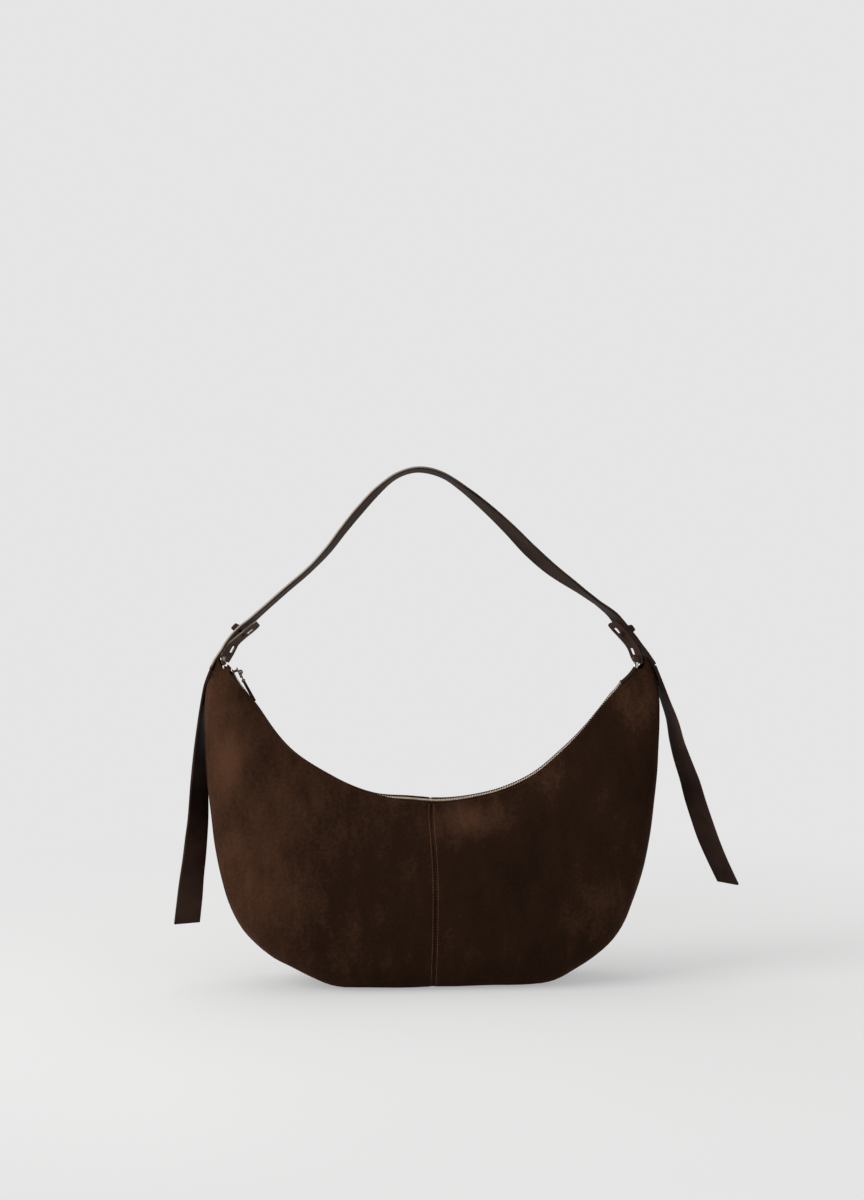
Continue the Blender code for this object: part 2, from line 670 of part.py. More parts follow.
# The bridge stands on the top plate, and the puller's near bar turns in it.
slider_up = (Vector((0.0, 0.0, ARC_CENTRE_HEIGHT)) - polar(SLIDER_DEG, ZIP_RADIUS)).normalized()
slider_on = Vector((-slider_up.z, 0.0, slider_up.x)) * -1.0
plate_top = polar(SLIDER_DEG, ZIP_RADIUS - plate_low - SLIDER_PLATE)
eye_height = BRIDGE_RISE - BRIDGE_WIRE * 2.0 - PULLER_WIRE - FIT
pivot = plate_top + slider_up * eye_height


def bridge_outline():
    half = BRIDGE_HALF_LENGTH
    outer = [(-half, -SLIDER_PLATE / 2.0), (half, -SLIDER_PLATE / 2.0)]
    outer += arc_points((0.0, BRIDGE_RISE - half), half, 0.0, 180.0, 8)
    hole = arc_points((0.0, eye_height), PULLER_WIRE + BRIDGE_PLAY, 0.0, 324.0, 9)
    return [outer, hole]


bridge_mesh = outline_mesh("slider_bridge", bridge_outline(), BRIDGE_WIRE)
moved(bridge_mesh, lambda c: plate_top + slider_on * c.x + slider_up * c.y + Vector((0.0, c.z, 0.0)))
bridge = cutter("slider_bridge", bridge_mesh)
boolean(top_plate, bridge, "UNION")

# The puller: a wire frame through the bridge, and the leather pull folded round its far bar.
pull_axis = empty("pull_axis", pivot, slider_axis)
drop = eye_height + SLIDER_PLATE - PULL_THICK / 2.0 - PULL_REST
pull_down = math.asin(drop / PULLER_LENGTH)
pull_on = slider_on * math.cos(pull_down) - slider_up * math.sin(pull_down)
pull_up = slider_up * math.cos(pull_down) + slider_on * math.sin(pull_down)


def frame_mesh(name, length, half_width, wire):
    # A closed wire frame, drawn as a cyclic curve with rounded corners.
    curve = bpy.data.curves.new(name, "CURVE")
    curve.dimensions = "3D"
    curve.bevel_depth = wire
    curve.bevel_resolution = 1
    corner = half_width * FRAME_CORNER_SHARE
    points = []
    for cx, cy, first in ((length - corner, half_width - corner, 0.0), (corner, half_width - corner, 90.0),
                          (corner, corner - half_width, 180.0), (length - corner, corner - half_width, 270.0)):
        points += arc_points((cx, cy), corner, first, first + 90.0, 2)
    spline = curve.splines.new("POLY")
    spline.points.add(len(points) - 1)
    for point, (x, y) in zip(spline.points, points):
        point.co = (x, y, 0.0, 1.0)
    spline.use_cyclic_u = True
    drawn = bpy.data.objects.new(name, curve)
    cutters.objects.link(drawn)
    bpy.context.view_layer.update()
    mesh = bpy.data.meshes.new_from_object(drawn.evaluated_get(bpy.context.evaluated_depsgraph_get()))
    bpy.data.objects.remove(drawn, do_unlink=True)
    mesh.materials.clear()
    return mesh


frame = frame_mesh("zip_puller", PULLER_LENGTH, PULLER_HALF_WIDTH, PULLER_WIRE)
moved(frame, lambda c: pivot + pull_on * c.x + pull_up * c.z + Vector((0.0, c.y, 0.0)))
place("zip_puller", frame, metal("puller_metal"), pull_axis)
pull_eye = PULLER_WIRE + FIT + PULL_SKIN
pull_outline = keyhole(PULL_LENGTH, pull_eye, PULLER_WIRE + FIT, PULL_THICK / 2.0, 5)
pull_mesh = outline_mesh("pull_leather", pull_outline, PULL_HALF_WIDTH)
far_bar = pivot + pull_on * PULLER_LENGTH
bar_deg = math.degrees(math.atan2(far_bar.x, ARC_CENTRE_HEIGHT - far_bar.z))
bar_radius = math.hypot(far_bar.x, ARC_CENTRE_HEIGHT - far_bar.z)
neck = PULLER_HALF_WIDTH - PULLER_WIRE - FIT


def pull_place(c):
    # The neck passes inside the frame, and the rest widens and lies along the arc.
    share = min(max((c.x - pull_eye) / (PULL_LENGTH * NECK_LENGTH_SHARE), 0.0), 1.0)
    wide = neck + (PULL_HALF_WIDTH - neck) * share
    return polar(bar_deg + math.degrees(c.x / bar_radius), bar_radius - c.y, c.z / PULL_HALF_WIDTH * wide)


moved(pull_mesh, pull_place)
place("pull_leather", pull_mesh, dark_leather("pull_leather"), pull_axis)


# The strap and its tails follow the rings wherever these stand, and less so towards the top.
def by_ring(x, z, near):
    hand = LEFT if x < 0.0 else RIGHT
    ring = ring_centre(hand)
    return (x * ARC_CENTRE_HEIGHT + (ring.x - hand * RING_SHARES[0] * ARC_CENTRE_HEIGHT) * near,
            z * ARC_CENTRE_HEIGHT + (ring.z - RING_SHARES[1] * ARC_CENTRE_HEIGHT) * near)


# The strap's route, upright over the bag, from one ring's height to the other's.
def route_points():
    reach = STRAP_ROUTE_SHARES[-1][0]
    rows = [by_ring(x, z, min(abs(x) / reach, 1.0)) for x, z in STRAP_ROUTE_SHARES]
    rows[0] = (rows[0][0], swing_height)
    rows[-1] = (rows[-1][0], swing_height)
    fine = [curved(rows, i / ROUTE_STEPS) for i in range(ROUTE_STEPS + 1)]
    length = [0.0]
    for (x0, z0), (x1, z1) in zip(fine, fine[1:]):
        length.append(length[-1] + math.hypot(x1 - x0, z1 - z0))
    return fine, length


route, route_length = route_points()
strap_length = route_length[-1]


def strap_frame(at):
    # The strap's middle, its direction and its outward normal at a length along it.
    at = min(max(at, 0.0), strap_length)
    i = next((k for k in range(len(route) - 1) if route_length[k + 1] >= at), len(route) - 2)
    f = (at - route_length[i]) / (route_length[i + 1] - route_length[i])
    here = Vector((route[i][0], 0.0, route[i][1])).lerp(Vector((route[i + 1][0], 0.0, route[i + 1][1])), f)
    a = route[max(i - 1, 0)]
    b = route[min(i + 2, len(route) - 1)]
    on = Vector((b[0] - a[0], 0.0, b[1] - a[1])).normalized()
    return here, on, Vector((-on.z, 0.0, on.x))


def strap_point(share, across):
    here, on, out = strap_frame(share * strap_length)
    lean = math.radians(table(STRAP_LEAN_SHARES, share))
    half = STRAP_WIDTH / 2.0 * across
    return here + Vector((0.0, half * math.cos(lean), 0.0)) - out * half * math.sin(lean)


strap_shares = [i / STRAP_COLUMNS for i in range(STRAP_COLUMNS + 1)]
strap = sheet("strap_arch", strap_shares, (FRONT, 0.0, BACK), strap_point, STRAP_THICK, 0.0,
              dark_leather("strap_leather"), strap_axis)


# The tails hang from the strap's turning axis, outside the bag, and each has its own pivot there.
def tail(name, rows, hand):
    rows = [by_ring(x, z, 1.0) + (y * HALF_DEPTH, lean) for x, z, y, lean in rows]
    rows[0] = (rows[0][0], swing_height - TAIL_GAP, rows[0][2], rows[0][3])
    hang = empty(name + "_axis", (rows[0][0], 0.0, swing_height), strap_axis)

    def where(share, across):
        x, z, y, lean = curved(rows, share)
        turn = math.radians(lean)
        half = STRAP_WIDTH / 2.0 * across
        return Vector((x - hand * half * math.sin(turn), y + half * math.cos(turn), z))

    shares = [i / TAIL_COLUMNS for i in range(TAIL_COLUMNS + 1)]
    return sheet(name, shares, (FRONT, 0.0, BACK), where, STRAP_THICK, 0.0,
                 dark_leather(name + "_leather"), hang)


tail("strap_tail_left", LEFT_TAIL_SHARES, LEFT)
tail("strap_tail_right", RIGHT_TAIL_SHARES, RIGHT)


# The reach of a tab to each side of its middle slot.
TAB_REACH = SLOT_PITCH + SLOT_LENGTH / 2.0 + TAB_MARGIN
TAB_UNDER = STRAP_THICK / 2.0 + FIT + TAB_THICK / 2.0


def tilted(out, tilt, wide, across, off):
    # A point of a tilted band from its path: across its width, and off its middle plane.
    y = across * math.cos(tilt) + off * math.sin(tilt)
    return out * (off * math.cos(tilt) - (across + wide) * math.sin(tilt)) + Vector((0.0, y, 0.0))


def tab_tilt(share):
    # A tab's front edge lies on the strap, and its back edge stands off it, less so towards the top.
    rise = min(max(share * 2.0 * TAB_REACH / TAB_SHOULDER, 0.0), 1.0)
    ease = rise * rise * (3.0 - 2.0 * rise)
    return math.radians(TAB_FOOT_TILT_DEG + (TAB_TOP_TILT_DEG - TAB_FOOT_TILT_DEG) * share) * ease


# Each tab is folded round its ring's upper wire and runs up the strap's inner side.
def tab(end, hand, toggle_at):
    centre = ring_centre(hand)
    wire = centre + Vector((0.0, 0.0, RING_RADIUS))
    path = [wire]
    for i in range(TAB_STATIONS + 1):
        at = toggle_at + (i / TAB_STATIONS * 2.0 - 1.0) * TAB_REACH * -hand
        here, on, out = strap_frame(at)
        path.append(here - out * TAB_UNDER)
    length = [0.0]
    for a, b in zip(path, path[1:]):
        length.append(length[-1] + (b - a).length)

    def along(at):
        i = next((k for k in range(len(path) - 1) if length[k + 1] >= at), len(path) - 2)
        share = (at - length[i]) / (length[i + 1] - length[i])
        here = path[i].lerp(path[i + 1], share)
        ahead = (path[i + 1] - path[i]).normalized()
        if 0 < i and share < 0.5:
            ahead = (path[i + 1] - path[i - 1]).normalized()
        elif share >= 0.5 and i + 2 < len(path):
            ahead = (path[i + 2] - path[i]).normalized()
        return here, Vector((-ahead.z, 0.0, ahead.x))

    eye = RING_WIRE + FIT + LOOP_LEATHER
    outline = keyhole(length[-1], eye, RING_WIRE + FIT, TAB_THICK / 2.0, TAB_STATIONS * 2)
    mesh = outline_mesh("tab_" + end, outline, TAB_HALF_WIDTH)
    start = (path[1] - path[0]).normalized()
    cross = Vector((-start.z, 0.0, start.x))

    def where(c):
        wide = LOOP_HALF_WIDTH
        if c.x > eye:
            grow = min((c.x - eye) / TAB_SHOULDER, 1.0)
            wide += (TAB_HALF_WIDTH - LOOP_HALF_WIDTH) * grow
        across = c.z / TAB_HALF_WIDTH * wide
        if c.x <= eye:
            return wire + start * c.x + cross * c.y + Vector((0.0, across, 0.0))
        here, side = along(c.x)
        return here + tilted(side * -hand, tab_tilt((c.x - eye) / (length[-1] - eye)), wide, across,
                             c.y * -hand)

    moved(mesh, where)
    made = place("tab_" + end, mesh, dark_leather("tab_leather_" + end), strap_axis)
    boolean(made, bpy.data.objects["ring_cut_" + end], "DIFFERENCE")
    for i in (-1, 0, 1):
        here, on, out = strap_frame(toggle_at + i * SLOT_PITCH)
        slot = [(x + SLOT_LENGTH / 2.0 - SLOT_HALF_WIDTH, y)
                for x, y in arc_points((0.0, 0.0), SLOT_HALF_WIDTH, -90.0, 90.0, 6)]
        slot += [(x - SLOT_LENGTH / 2.0 + SLOT_HALF_WIDTH, y)
                 for x, y in arc_points((0.0, 0.0), SLOT_HALF_WIDTH, 90.0, 270.0, 6)]
        name = "slot_%s_%d" % (end, i + 2)
        share = (length[1] - eye + TAB_REACH - i * SLOT_PITCH * hand) / (length[-1] - eye)
        cut = outline_mesh(name, [slot], TAB_THICK)
        moved(cut, lambda c: here - out * TAB_UNDER + on * c.x
              + tilted(out, tab_tilt(share), TAB_HALF_WIDTH, c.y, c.z))
        boolean(made, cutter(name, cut), "DIFFERENCE")
    return made


# A toggle block on the strap's outer side, its stem through the strap and the tab's middle slot.
def toggle(end, at):
    here, on, out = strap_frame(at)
    turn = Matrix((on, (0.0, 1.0, 0.0), out)).transposed()
    tilt = tab_tilt(0.5)
    top = STRAP_THICK / 2.0 + FIT

    def block(bm):
        bmesh.ops.create_cube(bm, size=2.0)
        bmesh.ops.scale(bm, verts=bm.verts, vec=(TOGGLE_LENGTH / 2.0, TOGGLE_HALF_WIDTH,
                                                 TOGGLE_HEIGHT / 2.0))
        bmesh.ops.bevel(bm, geom=list(bm.edges), offset=TOGGLE_EDGE, segments=2, affect="EDGES",
                        profile=0.5)
        for v in bm.verts:
            v.co = here + turn @ (v.co + Vector((0.0, 0.0, top + TOGGLE_HEIGHT / 2.0)))

    def pin(radius, low, high, lean=0.0):
        # A pin through the strap, or a disc that leans with the tab about its upper end.
        def build(bm):
            bmesh.ops.create_cone(bm, cap_ends=True, segments=16, radius1=radius, radius2=radius,
                                  depth=high - low)
            for v in bm.verts:
                off = Matrix.Rotation(-lean, 3, "X") @ (v.co + Vector((0.0, 0.0, (low - high) / 2.0)))
                v.co = here + turn @ (off + Vector((0.0, 0.0, high)))
        return build

    made = primitive("toggle_" + end, block, parts, material("toggle_leather_" + end,
                                                             (0.10, 0.045, 0.02), 0.5), strap_axis)
    low = TAB_UNDER + TAB_HALF_WIDTH * math.sin(tilt) + (TAB_THICK / 2.0 + FIT) / math.cos(tilt)
    stem = primitive("toggle_stem_" + end, pin(STEM_RADIUS, -low - STEM_HEAD / 2.0,
                                               top + TOGGLE_HEIGHT / 2.0))
    head = primitive("toggle_head_" + end, pin(STEM_HEAD_RADIUS, -low - STEM_HEAD, -low, tilt))
    boolean(made, stem, "UNION")
    boolean(made, head, "UNION")
    hole = primitive("toggle_hole_" + end, pin(STEM_RADIUS + FIT, -STRAP_THICK, STRAP_THICK))
    boolean(strap, hole, "DIFFERENCE")
    return made


left_toggle_at = TOGGLE_UP
right_toggle_at = strap_length - TOGGLE_UP
toggle("left", left_toggle_at)
toggle("right", right_toggle_at)
tab("left", LEFT, left_toggle_at)
tab("right", RIGHT, right_toggle_at)
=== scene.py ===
# %% [markdown]
# A suede crescent shoulder bag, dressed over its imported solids. The bag stands on a pale floor: a
# soft body with a curved metal zip, two ring-mounted tabs, a strap that arches over it and two
# tails that hang outside. The lesson goes from the camera and the shared measures to the body,
# the zip, the strap and its metal, and ends with the finishes and the light.

# %% Load the frame
import math

import bpy
import json
from mathutils import Matrix, Vector, noise

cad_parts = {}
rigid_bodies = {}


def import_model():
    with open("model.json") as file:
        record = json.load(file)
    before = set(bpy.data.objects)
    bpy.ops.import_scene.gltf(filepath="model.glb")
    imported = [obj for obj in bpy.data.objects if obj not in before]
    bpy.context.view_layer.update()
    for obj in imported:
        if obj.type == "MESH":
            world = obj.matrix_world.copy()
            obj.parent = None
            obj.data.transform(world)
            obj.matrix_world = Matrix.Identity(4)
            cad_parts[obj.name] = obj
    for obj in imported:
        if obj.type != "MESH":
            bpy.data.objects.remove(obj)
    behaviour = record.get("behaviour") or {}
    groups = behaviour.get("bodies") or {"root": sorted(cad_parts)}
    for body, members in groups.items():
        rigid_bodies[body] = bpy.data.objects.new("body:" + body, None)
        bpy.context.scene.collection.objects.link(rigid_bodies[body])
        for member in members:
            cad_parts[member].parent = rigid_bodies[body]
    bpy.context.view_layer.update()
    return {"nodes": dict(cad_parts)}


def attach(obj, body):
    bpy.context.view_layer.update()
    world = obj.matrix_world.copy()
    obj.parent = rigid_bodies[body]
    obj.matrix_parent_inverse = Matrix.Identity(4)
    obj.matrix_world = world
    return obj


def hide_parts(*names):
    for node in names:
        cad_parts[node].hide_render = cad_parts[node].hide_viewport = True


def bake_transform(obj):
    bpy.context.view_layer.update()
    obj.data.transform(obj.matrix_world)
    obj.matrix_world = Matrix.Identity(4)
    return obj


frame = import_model()

# %% [markdown]
# The photograph was taken with a long lens from a little above the mouth and slightly from the
# left. The long lens keeps the two tips nearly the same size. The strap's 25 mm width sets the
# scale, and the lens is worked out from the distance that makes one picture pixel 0.926 mm.

# %% Camera
CAMERA_AWAY = 2.5
CAMERA_HEIGHT = 0.62
CAMERA_AZIMUTH = math.radians(-5.0)
AIM = Vector((0.001, 0.0, 0.3603))
PHOTO_HEIGHT = 1200
METRES_PER_PIXEL = 0.926e-3

camera = bpy.data.objects.new("camera", bpy.data.cameras.new("camera"))
bpy.context.scene.collection.objects.link(camera)
camera.location = (CAMERA_AWAY * math.sin(CAMERA_AZIMUTH), -CAMERA_AWAY * math.cos(CAMERA_AZIMUTH),
                   CAMERA_HEIGHT)
camera.rotation_euler = (AIM - camera.location).to_track_quat("-Z", "Y").to_euler()
camera.data.sensor_fit = "VERTICAL"
camera.data.sensor_height = 36.0
slant = math.cos(math.atan((CAMERA_HEIGHT - AIM.z) / CAMERA_AWAY))
camera.data.lens = CAMERA_AWAY / METRES_PER_PIXEL / slant / PHOTO_HEIGHT * camera.data.sensor_height
bpy.context.scene.camera = camera
print("lens", round(camera.data.lens, 1), "mm")

# %% [markdown]
# The sewing pattern of such a bag is simple: every section of the body lies on a ray from the
# centre of the zip's arc. So the body is described in two numbers, an angle along the arc and a
# share of the way from the mouth to the foot, and everything sewn to it can use the same two.

# %% The body's measures
ARC_CENTRE = 0.370
ZIP_RADIUS = 0.19555
MOUTH_HALF = 0.0075
HALF_DEPTH = 0.048
HIDE = 0.0016
FLOOR_GAP = 0.0002
SECTION_LENGTH = 0.19
FRONT, BACK = -1.0, 1.0
LEFT, RIGHT = -1.0, 1.0
SIDES = ((FRONT, "front"), (BACK, "back"))
HANDS = ((LEFT, "left"), (RIGHT, "right"))

LEFT_EDGE = [(0.0, 1.0), (8.0, 1.0098), (14.0, 1.0220), (17.5, 1.0145), (20.7, 1.0055), (23.5, 1.000),
             (26.9, 0.984), (29.8, 0.964), (33.4, 0.926), (36.8, 0.881), (40.2, 0.837), (45.0, 0.779),
             (51.6, 0.715), (55.8, 0.680), (58.6, 0.659), (61.5, 0.640), (64.5, 0.622), (66.2, 0.611),
             (67.8, 0.600), (69.4, 0.589), (71.0, 0.577), (73.5, 0.557)]
RIGHT_EDGE = [(0.0, 1.0), (8.0, 1.0098), (14.0, 1.0306), (17.5, 1.036), (20.7, 1.027), (23.5, 1.018),
              (27.0, 1.001), (29.8, 0.976), (32.8, 0.938), (36.8, 0.890), (40.9, 0.839), (46.5, 0.774),
              (52.8, 0.715), (56.2, 0.688), (60.9, 0.656), (62.9, 0.644), (65.0, 0.631), (67.5, 0.614),
              (69.5, 0.598), (71.2, 0.581), (73.5, 0.560)]
# The zip's line strays a little from its arc, and the lips' ends bend away from it, in metres.
STRAY = [(-66.4, 0.0022), (-60.0, 0.0000), (-55.0, -0.0006), (-42.0, 0.0029), (-30.0, 0.0022),
         (-15.0, 0.0035), (-6.0, 0.0012), (3.0, 0.0026), (11.0, 0.0031), (20.0, 0.0042), (29.0, 0.0038),
         (38.5, 0.0006), (50.0, -0.0003), (58.0, 0.0008), (63.0, 0.0034)]
LEFT_LIP = [(60.0, 0.0), (63.0, 0.0004), (66.0, 0.0015), (68.7, 0.0032), (70.0, 0.0048), (73.5, 0.0072)]
RIGHT_LIP = [(60.0, 0.0), (62.0, 0.0010), (63.6, 0.0026), (66.0, 0.0060), (68.4, 0.0082), (73.5, 0.0082)]
# How far each lip's edge lies below the zip's line, in metres by angle.
FRONT_LIP = [(-73.5, 0.0004), (-66.0, 0.0002), (-61.0, -0.0020), (-56.0, -0.0030), (-20.0, -0.0030),
             (-14.0, -0.0024), (-9.0, -0.0009), (-3.0, -0.0003), (5.0, -0.0004), (12.0, -0.0011),
             (25.0, -0.0016), (40.0, -0.0018), (48.0, -0.0024), (55.0, -0.0028), (62.0, -0.0012),
             (73.5, -0.0006)]
BACK_LIP = [(-73.5, -0.0012), (-20.0, -0.0012), (-8.0, -0.0018), (0.0, -0.0018), (12.0, -0.0010),
            (60.0, -0.0004), (73.5, -0.0004)]
DEPTH = [(0.0, 1.0), (15.0, 0.985), (30.0, 0.90), (45.0, 0.71), (55.0, 0.53), (62.0, 0.375),
         (68.0, 0.24), (73.5, 0.205)]
SHARES = [(0.0, 0.0), (0.05, 0.125), (0.12, 0.30), (0.23, 0.56), (0.40, 0.81), (0.57, 0.95),
          (0.74, 1.0), (0.87, 0.91), (0.95, 0.70), (0.985, 0.48), (1.0, 0.30)]
LOW = [0.0]
for (h0, d0), (h1, d1) in zip(SHARES, SHARES[1:]):
    LOW.append(LOW[-1] + math.hypot((h1 - h0) * (ARC_CENTRE - ZIP_RADIUS), (d1 - d0) * HALF_DEPTH))
SECTION = [(low / LOW[-1], h, d) for low, (h, d) in zip(LOW, SHARES)]


def smooth(rows, at, column=1):
    """Read a table along a curve that passes through its rows without kinks."""
    at = min(max(at, rows[0][0]), rows[-1][0])
    i = next(k for k in range(len(rows) - 1) if at <= rows[k + 1][0])
    before, a, b, after = rows[max(i - 1, 0)], rows[i], rows[i + 1], rows[min(i + 2, len(rows) - 1)]
    step = b[0] - a[0]
    slope_a = (b[column] - before[column]) / (b[0] - before[0])
    slope_b = (after[column] - a[column]) / (after[0] - a[0])
    t = (at - a[0]) / step
    return ((2 * t ** 3 - 3 * t ** 2 + 1) * a[column] + (t ** 3 - 2 * t ** 2 + t) * step * slope_a
            + (3 * t ** 2 - 2 * t ** 3) * b[column] + (t ** 3 - t ** 2) * step * slope_b)


def edge_radius(deg):
    return ARC_CENTRE * smooth(LEFT_EDGE if deg < 0.0 else RIGHT_EDGE, abs(deg))


def polar(deg, radius, y=0.0):
    a = math.radians(deg)
    return Vector((radius * math.sin(a), y, ARC_CENTRE - radius * math.cos(a)))


def zip_radius(deg):
    return ZIP_RADIUS + smooth(STRAY, deg)


def lip_radius(deg):
    low = max(smooth(FRONT_LIP, deg), smooth(BACK_LIP, deg))
    return zip_radius(deg) + low + smooth(LEFT_LIP if deg < 0.0 else RIGHT_LIP, abs(deg))


def rise(deg, side):
    """How far a lip's edge stands above the lower of the two."""
    front, back = smooth(FRONT_LIP, deg), smooth(BACK_LIP, deg)
    return max(front, back) - (front if side == FRONT else back)


def section(deg, share):
    lip = lip_radius(deg)
    radius = lip + (edge_radius(deg) - lip) * smooth(SECTION, share, 1)
    half = HALF_DEPTH * smooth(DEPTH, abs(deg))
    return MOUTH_HALF + (half - MOUTH_HALF) * smooth(SECTION, share, 2), radius


print("body:", round(2000 * edge_radius(50.0) * math.sin(math.radians(50.0))), "mm wide at its fullest")

# %% [markdown]
# The body is cut from suede in two halves a side, joined down the middle by a seam with two rows
# of stitches. Each half starts as a flat pattern of small cells, laid on the curved sections
# by angle and share, so that a fold or a stitch can be given its real place in millimetres.

# %% Laying a pattern on the body
LEFT_TIP = [(0.0, 69.3), (0.08, 69.9), (0.16, 70.9), (0.24, 72.6), (0.33, 73.5), (0.45, 73.2), (0.62, 72.3),
            (0.80, 71.2), (1.0, 70.2)]
RIGHT_TIP = [(0.0, 68.3), (0.08, 68.7), (0.16, 69.0), (0.24, 69.3), (0.33, 70.0), (0.45, 71.6),
             (0.62, 72.3), (0.80, 71.2), (1.0, 70.2)]
SEAM_LINE = [(0.0, 0.0), (0.1, -0.0008), (0.35, 0.0007), (0.55, 0.0003), (0.8, -0.0008), (1.0, -0.0003)]


def lay(name, us, vs, where):
    """A flat pattern of cells, laid out: where(u, v) gives the place of the crossing of two lines."""
    columns, rows = len(us) - 1, len(vs) - 1
    bpy.ops.mesh.primitive_grid_add(x_subdivisions=columns, y_subdivisions=rows, size=2.0)
    made = bpy.context.object
    made.name = made.data.name = name
    for v in made.data.vertices:
        v.co = where(us[round((v.co.x + 1.0) / 2.0 * columns)], vs[round((v.co.y + 1.0) / 2.0 * rows)])
    return made


def pick(made):
    """Selects one piece alone."""
    bpy.ops.object.select_all(action="DESELECT")
    bpy.context.view_layer.objects.active = made
    made.select_set(True)


def apply(made, kind, **values):
    """Adds a modifier to a piece and applies it."""
    pick(made)
    added = made.modifiers.new(kind.lower(), kind)
    for name, value in values.items():
        setattr(added, name, value)
    bpy.ops.object.modifier_apply(modifier=added.name)
    return made


def outward(made):
    """Turns every face of a closed piece outward."""
    pick(made)
    bpy.ops.object.mode_set(mode="EDIT")
    bpy.ops.mesh.select_all(action="SELECT")
    bpy.ops.mesh.normals_make_consistent(inside=False)
    bpy.ops.object.mode_set(mode="OBJECT")
    bpy.ops.object.shade_smooth_by_angle(angle=math.radians(40.0))
    return made


def steps(first, last, size):
    """Even lines between two values, no further apart than size."""
    count = max(1, math.ceil(abs(last - first) / size))
    return [first + (last - first) * i / count for i in range(count + 1)]


def seam_deg(share):
    return math.degrees(math.asin(smooth(SEAM_LINE, share) / section(0.0, share)[1]))


tip_ends = [deg for share, deg in LEFT_TIP]
print("the left tip ends between", min(tip_ends), "and", max(tip_ends), "degrees")

# %% [markdown]
# Suede slumps where nothing holds it. The folds seen on the real bag are soft dents and ridges, so
# each is one row: its place, its two radii, its turn and its height. Seams draw the leather in.

# %% Folds, seams and stitch lines
FOLDS = [  # x, z, long radius, short radius, turn, height, all in metres and degrees
    (-0.178, 0.272, 0.022, 0.007, 20.0, -0.0016), (-0.186, 0.255, 0.020, 0.006, 10.0, 0.0013),
    (-0.130, 0.205, 0.030, 0.010, -38.0, -0.0017), (-0.117, 0.190, 0.034, 0.008, -38.0, 0.0014),
    (-0.150, 0.120, 0.060, 0.022, 70.0, 0.0018), (-0.098, 0.110, 0.050, 0.018, 60.0, -0.0016),
    (-0.060, 0.090, 0.046, 0.016, 72.0, 0.0014), (0.052, 0.150, 0.030, 0.010, 20.0, 0.0013),
    (0.060, 0.118, 0.045, 0.014, 30.0, -0.0018), (0.110, 0.105, 0.052, 0.017, 55.0, 0.0016),
    (0.150, 0.175, 0.060, 0.014, 62.0, -0.0018), (0.172, 0.205, 0.052, 0.010, 66.0, 0.0016),
    (0.187, 0.262, 0.022, 0.006, 40.0, -0.0015), (0.131, 0.033, 0.013, 0.010, 0.0, -0.0034),
    (0.100, 0.046, 0.036, 0.010, 25.0, 0.0014), (-0.140, 0.050, 0.036, 0.012, -40.0, -0.0016)]
ROW_OUT, HEM_DOWN = 0.0024, 0.0024
# The depth and the half width of each line that is drawn in, in metres.
SEAM_GROOVE, ROW_GROOVE, HEM_GROOVE = (0.0010, 0.0011), (0.00022, 0.0006), (0.00025, 0.0007)
PUCKER_HEIGHT, PUCKER_WIDTH, PUCKERS = 0.00006, 0.0016, 2240.0
# The back has the front's folds, mirrored and a little closer to the seam.
MIRROR = {FRONT: 1.0, BACK: -0.9}
# The lips' rise fades out over this share of a section.
RISE_SHARE = 0.12


def summed(patches, x, z, mirror=1.0):
    """The sum of soft patches at a place. A patch is its place, two radii, turn and height."""
    total = 0.0
    for px, pz, wide, high, turn, height in patches:
        a = math.radians(turn)
        dx, dz = x - px * mirror, z - pz
        along = (dx * math.cos(a) + dz * math.sin(a)) / wide
        across = (dz * math.cos(a) - dx * math.sin(a)) / high
        total += height * math.exp(-along * along - across * across)
    return total


def groove(size, away):
    """How deep a drawn-in line of this depth and width is, at a distance from its middle."""
    deep, wide = size
    return deep * math.exp(-(away / wide) ** 2)


def relief(deg, share, side):
    """How far the suede stands off its sections here, outward."""
    half, radius = section(deg, share)
    here = polar(deg, radius, side * half)
    from_seam = math.radians(deg - seam_deg(share)) * radius
    from_hem, from_foot = share * SECTION_LENGTH, (1.0 - share) * SECTION_LENGTH
    free = min(1.0, abs(from_seam) / 0.012) * min(1.0, from_hem / 0.016) * min(1.0, from_foot / 0.012)
    slack = noise.noise(here * 14.0 + Vector((3.1, side, 0.0))) * 0.0016 \
        + noise.noise(here * 37.0 + Vector((0.0, 7.7, side))) * 0.0005
    off = (summed(FOLDS, here.x, here.z, MIRROR[side]) + slack) * free
    # The seam's groove, the rows of stitches beside it and the row under the hem draw the suede in.
    off -= groove(SEAM_GROOVE, from_seam)
    off -= groove(ROW_GROOVE, abs(from_seam) - ROW_OUT)
    off -= groove(HEM_GROOVE, from_hem - HEM_DOWN)
    pucker = math.sin(here.z * PUCKERS) * groove((1.0, PUCKER_WIDTH), abs(from_seam) - ROW_OUT)
    return off + PUCKER_HEIGHT * pucker


def skin(deg, share, side, inward=0.0):
    """A point on the suede's outer side, or a depth inside it."""
    half, radius = section(deg, share)
    raised = rise(deg, side) * max(0.0, 1.0 - share / RISE_SHARE) ** 2
    here = polar(deg, radius - raised, side * half)
    # The direction out of the surface comes from two short steps along it.
    h0, r0 = section(deg, max(share - 0.004, 0.0))
    h1, r1 = section(deg, min(share + 0.004, 1.0))
    along = polar(deg, r1, side * h1) - polar(deg, r0, side * h0)
    h0, r0 = section(deg - 0.4, share)
    h1, r1 = section(deg + 0.4, share)
    across = polar(deg + 0.4, r1, side * h1) - polar(deg - 0.4, r0, side * h0)
    normal = (along.cross(across) * side).normalized()
    place = here + normal * (inward - relief(deg, share, side))
    place.z = max(place.z, FLOOR_GAP + inward)
    return place


print("folds:", len(FOLDS), "deepest", round(min(f[5] for f in FOLDS) * 1000, 1), "mm")

